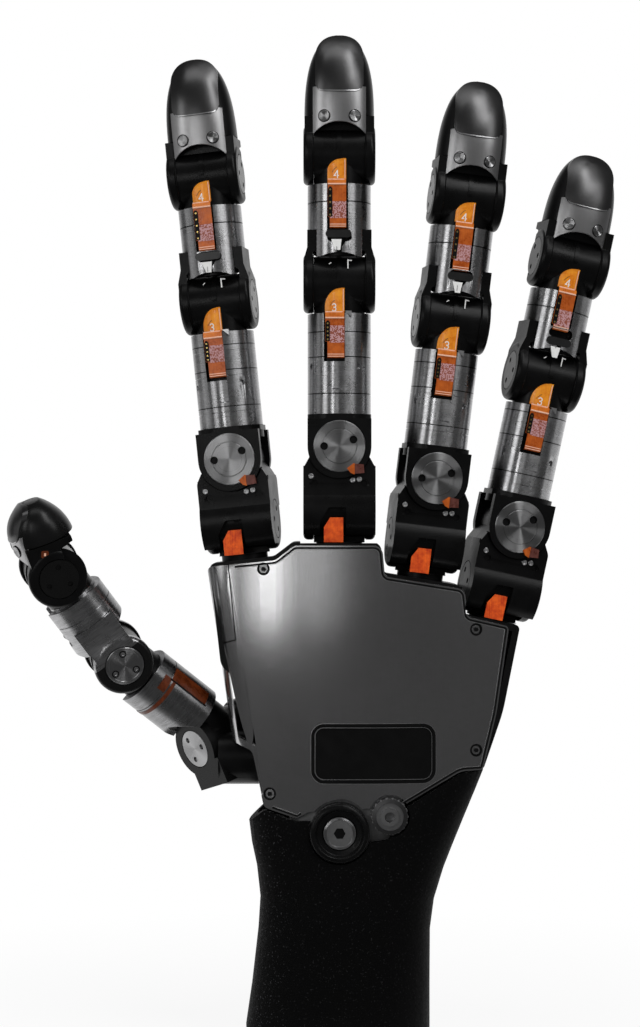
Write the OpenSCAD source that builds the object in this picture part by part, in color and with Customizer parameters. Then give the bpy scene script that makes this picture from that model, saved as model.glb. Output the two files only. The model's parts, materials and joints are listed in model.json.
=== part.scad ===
// Five-finger robot hand with twenty geared joints, right hand, back of the hand towards -Y.
// Every finger is a chain of four links: a base yoke, two motor phalanges and a soft fingertip.
// Each phalanx is a black frame that ends in a gear knuckle, inside a bright metal sleeve.

/* [Finger] */
// Outer diameter of a motor sleeve
sleeve_d = 16.4; // [15.6:0.1:17]
// Wall of a motor sleeve
sleeve_wall = 1.5; // [1.2:0.1:1.8]
// Width of a gear knuckle between the two ears that straddle it
knuckle_w = 13.2; // [12.8:0.1:14]
// Radius of a gear knuckle
knuckle_r = 7; // [6.6:0.1:7.1]
// Thickness of an ear
ear_t = 2.4; // [2:0.1:2.8]
// Radius of an ear
ear_r = 7.7; // [7.5:0.1:7.8]
// Radius of the trunnions that the joints turn on
pin_r = 2.5; // [2:0.1:3]
// Radius of the turned cap on a trunnion
cap_r = 5; // [4.4:0.1:5.2]
// Radius of the large disc over a spread joint
disc_r = 6.5; // [6:0.1:6.8]
// Flexion axis to spread axis
base_len = 16.4; // [16:0.1:18]
// Index finger: spread axis to middle joint, middle joint to end joint, end joint to tip
index_len = [41, 32.7, 31];
// Middle finger lengths
middle_len = [42.4, 33.3, 31.2];
// Ring finger lengths
ring_len = [41, 32.3, 30.6];
// Little finger lengths
little_len = [39.6, 30.4, 29];
// Thumb lengths
thumb_len = [36.5, 29, 20];

/* [Fingertip] */
// Half width of a fingertip at its root
tip_w = 9; // [8.6:0.1:9.2]
// Half width of the metal nail plate
nail_w = 6.2; // [5.6:0.1:6.4]
// Thickness of the metal nail plate
nail_t = 1.3; // [1:0.1:1.6]

/* [Palm] */
// How far the back of the palm lies from the fingers' plane
palm_back = 11.5; // [11:0.1:13]
// How far the front of the palm lies from the fingers' plane
palm_front = 13.5; // [13:0.1:15]
// Radius of the arch across the back of the palm
arch_r = 110; // [100:1:140]
// Wall of the metal back shell
back_wall = 1.6; // [1.2:0.1:2]
// Wall of the front shell
front_wall = 1.8; // [1.4:0.1:2.4]
// Thickness of the grip pad on the front of the palm
grip_t = 2.5; // [1.5:0.1:3.5]

/* [Wrist] */
// Wall of the wrist sleeve
wrist_wall = 2.4; // [1.8:0.1:3]
// Thickness of the mounting flange
flange_t = 5; // [4:0.1:6]
// Bolt circle of the mounting flange
flange_pcd = 31.5; // [31:0.1:32]
// Radius of the four bolt holes
flange_hole_r = 2.75; // [2.2:0.05:3]
// Radius of the pilot bore
pilot_r = 10; // [8:0.1:10.5]

/* [Hidden] */
$fn = 48;
side_gap = 0.3;      // between a knuckle and an ear
run_fit = 0.05;      // radial clearance of a trunnion in its ear
seat = 0.02;         // radial clearance of a piece that stays put
cap_t = 0.8;
cap_sink = 0.9;      // depth of a cap's recess
cap_air = 0.1;       // a cap runs clear of its recess floor
sleeve_r = sleeve_d / 2;
core_r = sleeve_r - sleeve_wall - 0.05;
joint_air = 0.4;     // between a knuckle and what turns round it
ear_x = knuckle_w / 2 + side_gap;
half_w = ear_x + ear_t;
hub_y = 6.2;         // half height of the spread hub
plate_in = hub_y + 0.2;
plate_out = plate_in + 2.2;
collar_z = 8.3;      // top of the black collar over the spread hub
thumb_skirt_z = 9.5; // start of the thumb's first sleeve
knuckle_drop = ear_r + 0.4;  // end of the sleeve below the next knuckle
skirt_z = 6.5;       // start of a middle sleeve over its knuckle
upright_z = 13.5;    // top of the ears' uprights
upright_x = 5.95;    // inner face of the ears' uprights
cover_wall = 1.3;    // cover of a base yoke over the back of its knuckle
cover_low = -6.4;    // lower edge of that cover
neck_low = -8.3;     // where the neck of a base knuckle is full round again
stub_r = 6;          // stub of that knuckle in the cross frame
stub_low = -14;
ribbon_x = -1.5;     // middle of the palm's ribbons on their knuckles
ribbon_w = 2.5;      // half width of those ribbons
ribbon_t = 0.4;
yoke_floor = knuckle_r + 0.4; // front edge of a yoke over the neck of its knuckle
relief_slope = 0.36; // front relief that lets a phalanx fold
front_slope = 0.14;  // and of the sleeve below it

// Where each finger starts: [position, tilt in the palm's plane, roll of the arch, lengths]
INDEX  = [[-25.5, 2.0, 135.2], -5.8, -8, index_len];
MIDDLE = [[0, 0, 138.3], 0, 0, middle_len];
RING   = [[22.1, 1.0, 130.3], 6.9, 7, ring_len];
LITTLE = [[41.6, 4.0, 118.2], 12.2, 11, little_len];
FINGERS = [INDEX, MIDDLE, RING, LITTLE];

// The thumb: its second axis crosses here, and its first phalanx leans out, then back, then turns
thumb_hub = [-31.1, 11, 78.4];
thumb_lean = -50;              // in the palm's plane
thumb_back = 20;               // towards the back of the hand
thumb_roll = -55.7;            // about the phalanx
thumb_cant = -34;              // the phalanx against the square of its hub
thumb_twist = -34.3;           // second knuckle about the first phalanx
thumb_bend = [14, 16];         // rest flexion of its last two joints
thumb_root = [-21, 6, 73.5];   // where its first axis, along X, enters the block
thumb_pin_r = 4;
thumb_block_r = 7;
edge_from = [-34.3, 123.6]; // top of the palm's thumb-side edge
edge_lean = -8.5;
edge_r = 6;
edge_y = -7;                   // where the rolled edge starts on the back
board_t = 1.6;
motor_r = 5.3;
motor_end = 35;                // below the knuckle axis
boss_r = 5.6;                  // of the chassis boss that the thumb turns in

palm_x = 3;                    // the arch's crown
leg_x = 16.5;                  // half width of the wrist frame
badge = [[8.7, 76], [31, 14.3], 3.4];
clamp_at = [0, 56];
knob_at = [12.8, 60.1];
clamp_r = 7.6;
knob_r = 4.7;
screw_at = [[-19.5, 123.2], [35.2, 107.6], [-17.9, 65.6], [35.2, 76.5]];
screw_r = 1.15;

pieces = ["base_yoke", "spread_axle", "proximal_frame", "proximal_sleeve", "middle_frame",
          "middle_sleeve", "tip_core", "nail_plate", "tip_pad"];

// ---------- helpers ----------
module along_x(r, w) rotate([0, 90, 0]) cylinder(r = r, h = w, center = true);
module along_y(r, y0, y1) translate([0, y1, 0]) rotate([90, 0, 0]) cylinder(r = r, h = y1 - y0);
module box(lo, hi) translate(lo) cube(hi - lo);
module both_sides() { children(); mirror([1, 0, 0]) children(); }
// A profile drawn in x and z, given a thickness from y0 to y1
module plate_xz(y0, y1) translate([0, y1, 0]) rotate([90, 0, 0]) linear_extrude(y1 - y0) children();
// A disc along x with a rounded outer rim, its outer face at x
module rim_disc(r, x, t, c = 1.2)
    translate([x - t, 0, 0]) rotate([0, 90, 0]) rotate_extrude()
        polygon(rounded([[0, 0, 0], [r, 0, 0], [r, t, c], [0, t, 0]]));

// Corners [x, y, radius] turned into points, each corner a true arc
function unit(v) = v / norm(v);
function arc_at(a, b, c, r, n = 5) =
    let (u = unit([a.x - b.x, a.y - b.y]), v = unit([c.x - b.x, c.y - b.y]),
         half = acos(max(-1, min(1, u * v))) / 2,
         cut = r / tan(half), m = [b.x, b.y] + unit(u + v) * r / sin(half),
         p = [b.x, b.y] + u * cut - m, q = [b.x, b.y] + v * cut - m)
    [for (i = [0:n]) let (t = i / n, w = p * (1 - t) + q * t) m + unit(w) * r];
function rounded(c) = [for (i = [0:len(c) - 1])
    let (a = c[(i + len(c) - 1) % len(c)], b = c[i], d = c[(i + 1) % len(c)])
        each (b[2] > 0 ? arc_at(a, b, d, b[2]) : [[b.x, b.y]])];
module rounded_box(at, size, r) translate(at)
    polygon(rounded([for (s = [[-1, -1], [1, -1], [1, 1], [-1, 1]]) [s.x * size.x / 2, s.y * size.y / 2, r]]));

// A solid through rings that have the same number of points
module loft(rings) {
    n = len(rings[0]);
    m = len(rings);
    polyhedron(points = [for (r = rings) each r],
        faces = concat([[for (i = [0:n - 1]) i]],
            [for (k = [0:m - 2]) for (i = [0:n - 1]) let (j = (i + 1) % n)
                each [[k * n + i, (k + 1) * n + j, k * n + j],
                    [k * n + i, (k + 1) * n + i, (k + 1) * n + j]]],
            [[for (i = [n - 1:-1:0]) (m - 1) * n + i]]), convexity = 6);
}

// ---------- frames of the chain ----------
module at_base(f) translate(f[0]) rotate([0, f[1], 0]) rotate([0, 0, f[2]]) children();
module at_spread(f) at_base(f) translate([0, 0, base_len]) children();
module at_middle(f) at_spread(f) translate([0, 0, f[3][0]]) children();
module at_end(f) at_middle(f) translate([0, 0, f[3][1]]) children();
module thumb_spread() translate(thumb_hub) rotate([0, thumb_lean, 0]) rotate([thumb_back, 0, 0])
    rotate([0, 0, thumb_roll]) children();
module thumb_square() thumb_spread() rotate([thumb_cant, 0, 0]) children();
module thumb_middle() thumb_spread() translate([0, 0, thumb_len[0]])
    rotate([0, 0, thumb_twist]) rotate([-thumb_bend[0], 0, 0]) children();
module thumb_end() thumb_middle() translate([0, 0, thumb_len[1]])
    rotate([-thumb_bend[1], 0, 0]) children();

// ---------- joints ----------
// The parent's side: a gear knuckle on the joint axis with its two trunnions and the neck below
module gear_knuckle(neck = knuckle_drop) {
    along_x(knuckle_r, knuckle_w);
    along_x(pin_r, 2 * (half_w - cap_sink + cap_air));
    intersection() {
        translate([0, 0, -neck]) cylinder(r = core_r, h = neck);
        box([-knuckle_w / 2, -core_r, -neck], [knuckle_w / 2, core_r, 0]);
    }
    // moulded ridge round the middle of the housing
    intersection() {
        along_x(knuckle_r + 0.25, 1.2);
        box([-1, -knuckle_r - 1, 0], [1, 0, knuckle_r]);
    }
}
// The caps screwed on the trunnions' ends
module caps(x = half_w) both_sides() translate([x - cap_t, 0, 0]) rotate([0, 90, 0]) difference() {
    cylinder(r = cap_r, h = cap_t);
    for (a = [30:120:270]) rotate([0, 0, a])
        translate([cap_r * 0.62, 0, cap_t - 0.5]) cylinder(r = 0.7, h = 1);
}
// The child's side: the bore in an ear, with the recess of its cap
module ear_bore() {
    along_x(pin_r + run_fit, 4 * half_w);
    translate([half_w - cap_sink, 0, 0]) rotate([0, 90, 0]) cylinder(r = cap_r + 0.2, h = 2);
}
// An ear with the upright that carries a phalanx
module ear_upright() difference() {
    union() {
        rim_disc(ear_r, half_w, ear_t);
        plate_xz(-5.4, 5.4) polygon([[ear_x, 0], [half_w, 0], [half_w, 5.5], [sleeve_r + 0.1, 9],
            [sleeve_r + 0.1, upright_z], [upright_x, upright_z],
            [upright_x, knuckle_r + 1.3], [ear_x, knuckle_r + 0.6]]);
    }
    ear_bore();
}

// ---------- link 1: base yoke ----------
module base_yoke() color([0.07, 0.07, 0.08]) difference() {
    union() {
        both_sides() rim_disc(ear_r, half_w, ear_t);
        both_sides() box([ear_x, -6.6, 0], [half_w, 6.6, base_len - 5]);
        plate_xz(-7.6, 7.6) polygon(rounded([[-half_w, 3.5, 0], [half_w, 3.5, 0],
            [half_w, base_len - 5.6, 2.5], [6, base_len + 0.5, 0],
            [-6, base_len + 0.5, 0], [-half_w, base_len - 5.6, 2.5]]));
        translate([0, 0, base_len]) along_y(knuckle_r, -hub_y, hub_y);
        // the cover over the back of the knuckle
        intersection() {
            along_x(knuckle_r + joint_air + cover_wall, 2 * half_w);
            box([-half_w, -20, cover_low], [half_w, 0, 6]);
        }
    }
    along_x(knuckle_r + joint_air, 2 * ear_x);
    // notch in the cover, open down to the ribbon of the palm
    plate_xz(-20, 0) polygon([[ribbon_x - ribbon_w - 1, -20], [ribbon_x - ribbon_w - 1, -3],
        [ribbon_x - 1.2, 0.7], [ribbon_x + ribbon_w + 0.7, 0.7], [ribbon_x + ribbon_w + 0.7, -20]]);
    // the neck of the knuckle passes here when the finger folds
    box([-ear_x, 0, 0], [ear_x, 20, yoke_floor]);
    both_sides() ear_bore();
    // room for the fork of the first phalanx on both faces of the hub
    translate([0, 0, base_len]) for (s = [-1, 1])
        along_y(sleeve_r + 0.3, s > 0 ? hub_y : -20, s > 0 ? 20 : -hub_y);
    translate([0, 0, base_len]) along_y(pin_r + seat, -20, 20);
    // shallow steps moulded over the back of the yoke
    box([-half_w + 1.6, -9, 6.2], [half_w - 1.6, -7.3, 7]);
    both_sides() translate([6.4, 0, 6.9]) along_y(0.9, -9, -6.9);
}

// ---------- the spread axle: large turned disc, pin and front cap ----------
module spread_axle() color([0.72, 0.73, 0.75]) {
    difference() {
        union() {
            along_y(pin_r, -plate_out + 1, plate_out - cap_sink + cap_air);
            along_y(disc_r, -plate_out - 0.3, -plate_out + 1);
        }
        // turned step and the two spanner holes
        difference() {
            along_y(disc_r + 1, -plate_out - 1, -plate_out - 0.05);
            along_y(disc_r * 0.66, -plate_out - 1, 0);
            difference() {
                along_y(disc_r + 2, -plate_out - 2, 0);
                along_y(disc_r - 0.5, -plate_out - 3, 1);
            }
        }
        for (s = [-1, 1]) translate([s * disc_r * 0.59, 0, s * 0.7])
            along_y(0.95, -plate_out - 1, -plate_out + 0.5);
    }
    along_y(cap_r, plate_out - cap_sink + cap_air, plate_out);
}

// ---------- link 2: first phalanx ----------
module spread_fork() difference() {
    union() {
        for (s = [-1, 1]) {
            along_y(sleeve_r, s > 0 ? plate_in : -plate_out, s > 0 ? plate_out : -plate_in);
            box([-sleeve_r, s > 0 ? plate_in : -plate_out, 0],
                [sleeve_r, s > 0 ? plate_out : -plate_in, collar_z - 1.2]);
        }
        translate([0, 0, 5]) cylinder(r = sleeve_r, h = collar_z - 5);
        intersection() {
            box([-sleeve_r, -plate_out, collar_z - 1.3], [sleeve_r, plate_out, collar_z]);
            translate([0, 0, -1]) cylinder(r = plate_out + 0.6, h = 20);
        }
    }
    along_y(knuckle_r + joint_air, -plate_in, plate_in);
    along_y(pin_r + run_fit, -20, 20);
    along_y(disc_r + 0.2, -20, -plate_out + 1.1);
    along_y(cap_r + 0.2, plate_out - cap_sink, 20);
    // the collar has no floor beside the hub
    box([-20, -plate_in, -20], [20, plate_in, 5.2]);
}
module proximal_frame(len) color([0.06, 0.06, 0.07]) {
    spread_fork();
    difference() {
        translate([0, 0, collar_z - 0.1]) cylinder(r = core_r, h = len - knuckle_drop - collar_z + 0.2);
        ribbon_bed(len, -1.3, 12.6);
    }
    translate([0, 0, len]) gear_knuckle();
}
// Flat bed cut in a core for the ribbon that feeds the next knuckle
module ribbon_bed(len, x, l)
    box([x - 2.7, -core_r - 1, len - knuckle_drop - l], [x + 2.7, -core_r + 0.8, len]);
// Window in a sleeve over that ribbon
module ribbon_window(len, x, l)
    box([x - 2.7, -sleeve_r - 1, len - knuckle_drop - l], [x + 2.7, 0, len]);
// A turned groove round a sleeve
module groove(z) translate([0, 0, z]) difference() {
    cylinder(r = sleeve_r + 1, h = 0.22);
    cylinder(r = sleeve_r - 0.25, h = 1, center = true);
}
module proximal_sleeve(len) color([0.62, 0.62, 0.64]) {
    top = len - knuckle_drop;
    bottom = collar_z + 0.1;
    difference() {
        translate([0, 0, bottom]) cylinder(r = sleeve_r, h = top - bottom);
        cylinder(r = core_r + 0.05, h = 2 * len, center = true);
        ribbon_window(len, -1.3, 12.5);
        for (z = [5, 11.5, 20.9]) groove(top - z);
        for (a = [38, -62]) rotate([0, 0, a]) translate([0, 0, top - 13.6])
            along_y(0.75, -sleeve_r - 1, -sleeve_r + 0.7);
        // keyway slot low on the back
        box([-1.8, -sleeve_r - 1, bottom + 6.2], [1.4, -sleeve_r + 0.5, bottom + 6.5]);
        front_relief(len);
    }
    translate([0, 0, len]) caps();
}
// The front of a sleeve stops short of a knuckle, so that the next phalanx can fold
module front_relief(len) translate([-20, 0, len - knuckle_drop]) rotate([0, 90, 0])
    linear_extrude(40) polygon([[-1, 3 - 1 / front_slope], [-1, 20], [17 * front_slope, 20]]);

// ---------- link 3: second phalanx ----------
// What keeps a folding phalanx clear of the knuckle and of the sleeve below it
module fold_relief() {
    along_x(knuckle_r + joint_air, 2 * ear_x);
    rotate([90, 0, 90]) translate([0, 0, -20]) linear_extrude(40)
        polygon([[0, -20], [0, 7.5], [12, 7.5 + 12 * relief_slope], [12, -20]]);
}
module middle_frame(len) color([0.06, 0.06, 0.07]) {
    both_sides() ear_upright();
    difference() {
        translate([0, 0, skirt_z + 0.2]) cylinder(r = core_r, h = len - knuckle_drop - skirt_z - 0.1);
        along_x(knuckle_r + joint_air, 40);
        box([-ear_x - 0.1, 0, 0], [ear_x + 0.1, 20, 9.3]);
        ribbon_bed(len, -0.5, 12.2);
    }
    translate([0, 0, len]) gear_knuckle();
}
module middle_sleeve(len, capped = true) color([0.66, 0.66, 0.68]) {
    top = len - knuckle_drop;
    difference() {
        translate([0, 0, skirt_z]) cylinder(r = sleeve_r, h = top - skirt_z);
        cylinder(r = core_r + 0.05, h = 2 * len, center = true);
        fold_relief();
        // side cut-outs round the ears' uprights
        both_sides() box([upright_x - 0.1, -20, 0], [20, 20, upright_z + 0.1]);
        ribbon_window(len, -0.5, min(12.1, top - skirt_z - 6.5));
        groove(top - 4.8);
        // cable eye and the forked notch at the skirt
        translate([0, 0, skirt_z + 5]) both_sides() translate([1.9, 0, 0]) along_y(1.3, -20, 0);
        box([-1.9, -20, skirt_z + 3.7], [1.9, 0, skirt_z + 6.3]);
        plate_xz(-20, 0) polygon([[-1.6, skirt_z + 3.7], [1.6, skirt_z + 3.7], [0.6, skirt_z + 2.3],
            [0.6, skirt_z - 1], [-0.6, skirt_z - 1], [-0.6, skirt_z + 2.3]]);
        // arched lower edge on the back
        translate([0, 0, skirt_z - 11]) along_y(12, -20, 0);
        front_relief(len);
    }
    if (capped) translate([0, 0, len]) caps();
}

// ---------- link 4: fingertip ----------
tip_z = 9.6;      // where the soft tip starts
nail_z = 3.9;     // lower end of the nail plate, before it is arched
squareness = 2.3; // of the fingertip's section
function nail_step(l) = max(12.2, 0.53 * l); // lower edge of the raised nail
function tip_s(z, l) = max(0, (z - 8) / (l - 8));
function tip_half(z, l) = tip_w * pow(1 - pow(min(0.985, tip_s(z, l)), 2.6), 1 / 2.2);
function tip_back(z, l) = -7.7 + 6.2 * pow(tip_s(z, l), 3.4);
function tip_front(z, l) = 8.4 - 5.8 * pow(tip_s(z, l), 2.4);
function tip_mid(z, l) = (tip_back(z, l) + tip_front(z, l)) / 2;
function tip_deep(z, l) = (tip_front(z, l) - tip_back(z, l)) / 2;
function nail_half(z, l) = min(nail_w, 0.9 * tip_half(z, l));
function back_y(x, z, l) = tip_mid(z, l)
    - tip_deep(z, l) * pow(max(0, 1 - pow(abs(x) / tip_half(z, l), squareness)), 1 / squareness);
function sgn(v) = v < 0 ? -1 : 1;
function seat_row(z, l, sink) = [for (i = [-4:4]) let (x = nail_half(z, l) * i / 4)
    [x, back_y(x, z, l) + sink, z]];
function pad_ring(z, l) = let (w = tip_half(z, l), e = 2 / squareness,
        a0 = acos(pow(nail_half(z, l) / w, 1 / e)))
    concat([for (i = [0:18]) let (a = -a0 + (180 + 2 * a0) * i / 18)
        [w * sgn(cos(a)) * pow(abs(cos(a)), e),
         tip_mid(z, l) + tip_deep(z, l) * sgn(sin(a)) * pow(abs(sin(a)), e), z]],
        seat_row(z, l, nail_t + 0.13));
function nail_ring(z, l) = let (lift = z > nail_step(l) ? 0.3 : 0)
    concat(seat_row(z, l, -lift), [for (i = [8:-1:0]) seat_row(z, l, nail_t)[i]]);

module tip_core(len) color([0.07, 0.07, 0.08]) difference() {
    union() {
        both_sides() rim_disc(ear_r, half_w, ear_t);
        both_sides() box([ear_x, -5.6, 0], [half_w - 0.3, 5.6, tip_z - 0.1]);
        box([-8.6, -4.5, 5.5], [8.6, 6.6, tip_z - 0.1]);
        box([-3.9, -3.2, tip_z - 0.2], [3.9, 4, len * 0.66]);
    }
    along_x(knuckle_r + joint_air, 2 * ear_x);
    // front relief, so that the tip can fold
    rotate([90, 0, 90]) translate([0, 0, -20]) linear_extrude(40)
        polygon([[3, -20], [3, 7.2], [12, 9.2], [12, -20]]);
    both_sides() ear_bore();
}
function nail_heights(step, l) = concat([for (t = [0:0.25:1]) nail_z + (step - 0.05 - nail_z) * t],
    [step + 0.05], [for (t = [0.35, 0.55, 0.7, 0.82, 0.9, 0.955, 0.985]) step + (l - step) * t]);
function pad_heights(step, l) = concat([tip_z], [for (h = nail_heights(step, l)) if (h > tip_z + 0.2) h]);
module nail_plate(len) color([0.42, 0.42, 0.44]) {
    difference() {
        loft([for (z = nail_heights(nail_step(len), len)) nail_ring(z, len)]);
        translate([0, 0, -1]) along_y(9, -20, 20);
        both_sides() translate([3.95, 0, 9.3]) along_y(1.55, -20, -6.9);
    }
    both_sides() translate([3.95, 0, 9.3]) difference() {
        along_y(1.5, -7.7, -6.92);
        translate([0, -7.7, 0]) rotate([90, 0, 0]) cylinder(r = 0.7, h = 1, center = true, $fn = 6);
    }
}
module tip_pad(len) color([0.05, 0.05, 0.05]) difference() {
    loft([for (z = pad_heights(nail_step(len), len)) pad_ring(z, len)]);
    box([-4, -3.3, tip_z - 1], [4, 4.1, len * 0.66 + 0.1]);
}

// ---------- thumb base ----------
// Frame of the first thumb axis: z along the axis, out of the palm
module thumb_axis() translate(thumb_root) rotate([0, -90, 0]) children();
module thumb_yoke() color([0.07, 0.07, 0.08]) difference() {
    union() {
        difference() {
            union() {
                thumb_axis() cylinder(r = thumb_block_r, h = 10.5);
                thumb_square() {
                    for (s = [-1, 1]) along_y(ear_r, s > 0 ? ear_x : -half_w, s > 0 ? half_w : -ear_x);
                    box([-4.5, -half_w, -11], [8, half_w, -4]);
                }
            }
            thumb_axis() translate([0, 0, -20]) cylinder(r = 30, h = 20);
        }
        thumb_axis() translate([0, 0, -5]) cylinder(r = thumb_pin_r, h = 6);
    }
    thumb_square() {
        along_y(knuckle_r + joint_air, -ear_x, ear_x);
        along_y(pin_r + seat, -20, 20);
        for (s = [-1, 1])
            along_y(cap_r + 0.2, s > 0 ? half_w - cap_sink : -20, s > 0 ? 20 : -half_w + cap_sink);
    }
}
module thumb_axle() color([0.72, 0.73, 0.75]) rotate([0, 0, 90]) {
    along_x(pin_r, 2 * (half_w - cap_t) + 0.02);
    caps();
}
// What a canted phalanx leaves free for the two ears of its hub
module hub_room() rotate([thumb_cant, 0, 0]) {
    for (s = [-1, 1])
        along_y(ear_r + 0.4, s > 0 ? knuckle_w / 2 + 0.1 : -40, s > 0 ? 40 : -knuckle_w / 2 - 0.1);
    along_y(pin_r + run_fit, -20, 20);
}
module thumb_frame(len) color([0.06, 0.06, 0.07]) {
    difference() {
        union() {
            rotate([thumb_cant, 0, 0]) along_y(knuckle_r, -knuckle_w / 2, knuckle_w / 2);
            rotate([0, 0, thumb_twist]) cylinder(r = core_r, h = len - knuckle_drop + 0.1);
        }
        hub_room();
        rotate([0, 0, thumb_twist]) ribbon_bed(len, -1.3, thumb_window(len) + 0.1);
    }
    translate([0, 0, len]) rotate([0, 0, thumb_twist]) gear_knuckle();
}
// Length of the ribbon window in that sleeve, which leaves a rim of 6.4 below it
function thumb_window(len) = min(12.5, len - knuckle_drop - thumb_skirt_z - 6.4);
module thumb_sleeve(len) color([0.62, 0.62, 0.64]) {
    top = len - knuckle_drop;
    difference() {
        translate([0, 0, thumb_skirt_z]) cylinder(r = sleeve_r, h = top - thumb_skirt_z);
        cylinder(r = core_r + 0.05, h = 2 * len, center = true);
        hub_room();
        rotate([0, 0, thumb_twist]) {
            ribbon_window(len, -1.3, thumb_window(len));
            groove(top - 5);
            front_relief(len);
        }
    }
    translate([0, 0, len]) rotate([0, 0, thumb_twist]) caps();
}

// ---------- palm ----------
palm_corners = [[-34.3, 123.6, 1.4], [-16.5, 125.4, 3], [-11.6, 129.2, 2.4], [10.9, 129.2, 2.4],
    [11.6, 121.3, 1.4], [32.2, 117.9, 2.4], [33, 110.8, 1.4], [43.9, 108.2, 1.2], [40.6, 86, 40],
    [37, 71.4, 1], [31.2, 71.2, 6], [16.9, 63, 1.5], [12, 62, 0], [0, 62, 0], [-8, 61, 0.6],
    [-11, 59.4, 2], [-19.4, 62.1, 2], [-22.4, 76.3, 2.4], [-27.6, 78.6, 2.4]];
front_corners = [[-33.6, 124.4, 1.4], [-16.9, 126.4, 3], [-12, 130.1, 2.4], [10.6, 130.1, 2.4],
    [11.3, 122.2, 1.4], [31.8, 118.8, 2.4], [32.6, 111.7, 1.4], [47, 108.2, 1.2], [42.4, 86, 40],
    [37.3, 71.6, 1], [31.2, 71.4, 6], [17.2, 63.6, 1.5], [8, 66, 2], [-8, 66, 2],
    [-14.5, 64, 2], [-15.5, 86, 6], [-30.6, 98, 4]];
chassis_corners = [[-24.5, 119, 2], [-15, 122, 2], [-10, 126.5, 2], [8.5, 126.5, 2], [9.5, 118.8, 1.5],
    [30, 115.6, 2], [31, 108.6, 1.5], [44.5, 105.3, 1], [39.8, 86, 20], [34.8, 77, 2], [28, 73.8, 4],
    [17, 68.6, 3], [-12.2, 68.4, 3], [-12.8, 89, 2], [-22, 96.5, 2]];
pad_corners = [[-11, 96, 5], [-27, 108, 4], [-29, 118, 3], [-12, 119.5, 4], [28, 109.5, 4],
    [41, 103, 4], [37, 80, 8], [31, 75, 5], [-7, 71, 6]];
front_screw_at = [[-6, 112], [24, 104], [-6, 78], [24, 78]];
lug_corners = [[-11.5, 66, 2], [-9, 49, 4], [6, 47, 4], [18, 55, 3], [15.5, 66, 2], [0, 72, 3]];
module palm_outline() difference() {
    polygon(rounded(palm_corners));
    translate(clamp_at) circle(r = clamp_r + 0.7);
    translate(knob_at) circle(r = knob_r + 0.7);
}
module arch(depth) translate([palm_x, arch_r - palm_back + depth, 0]) cylinder(r = arch_r, h = 200, $fn = 180);
// Room for the fingers to fold over the top of the palm
module fold_room() for (f = FINGERS) at_base(f) {
    box([-half_w - 0.8, -30, -8.6], [half_w + 0.8, 30, 20]);
    box([-half_w - 1, 0.5, -9.8], [half_w + 1, 30, 20]);
}

// What is left outside the rolled thumb-side edge: it follows the edge's own slant
module edge_cut(r) translate([edge_from.x, 0, edge_from.y]) rotate([0, edge_lean, 0])
    translate([r, edge_y + r, 0]) difference() {
        box([-r - 20, -r - 20, -60], [0, 0, 20]);
        translate([0, 0, -70]) cylinder(r = r, h = 100);
    }
module palm_back_shell() color([0.6, 0.6, 0.62]) difference() {
    intersection() {
        plate_xz(-palm_back - 1, 1.5) palm_outline();
        arch(0);
    }
    edge_cut(edge_r);
    intersection() {
        plate_xz(-palm_back - 1, 20) polygon(rounded(front_corners));
        arch(back_wall);
    }
    // a narrow skirt is left all round, and a plain lip over the wrist
    intersection() {
        union() {
            plate_xz(-palm_back, 20) offset(delta = -back_wall) palm_outline();
            box([-15.5, -20, 50], [30, 20, 70]);
        }
        arch(back_wall);
    }
    thumb_axis() translate([0, 0, -4]) cylinder(r = thumb_block_r + 0.6, h = 24);
    plate_xz(-palm_back - 2, -4) rounded_box(badge[0], badge[1], badge[2]);
    for (p = screw_at) translate([p.x, 0, p.y]) along_y(screw_r + 0.05, -20, 0);
    fold_room();
    // seam between the back and the wrap-round edge on the thumb side
    intersection() {
        plate_xz(-palm_back - 1, -3) polygon([[-28.6, 130], [-28.3, 130], [-26.4, 104], [-31, 101],
            [-31, 100.7], [-26.1, 103.8]]);
        difference() {
            arch(-0.5);
            arch(0.35);
        }
    }
}

module palm_front_shell() color([0.06, 0.06, 0.07]) difference() {
    intersection() {
        plate_xz(-palm_back, palm_front) polygon(rounded(front_corners));
        arch(back_wall + 0.1);
    }
    intersection() {
        plate_xz(-palm_back, palm_front - front_wall)
            offset(delta = -front_wall) polygon(rounded(front_corners));
        arch(back_wall - 3);
    }
    for (f = FINGERS) at_base(f) translate([0, 0, -14.6]) cylinder(r = 6.3, h = 14.6);
    // the frame passes to the wrist and to the thumb
    box([-12.6, -20, 50], [16, 8, 69]);
    thumb_axis() {
        translate([0, 0, -18]) cylinder(r = boss_r + 0.3, h = 20);
        translate([0, 0, -1]) cylinder(r = thumb_block_r + 0.6, h = 20);
    }
    fold_room();
    for (p = front_screw_at) translate([p.x, 0, p.y]) along_y(1.2, palm_front - 3, palm_front + 1);
}
module palm_grip_pad() color([0.05, 0.05, 0.05]) difference() {
    plate_xz(palm_front, palm_front + grip_t) polygon(rounded(pad_corners));
    for (p = front_screw_at) translate([p.x, 0, p.y]) along_y(1.6, 0, 40);
    for (i = [0:4]) translate([4, palm_front + grip_t + 0.4, 84 + 5 * i])
        rotate([0, 8, 0]) along_x(0.9, 34);
}
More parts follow.
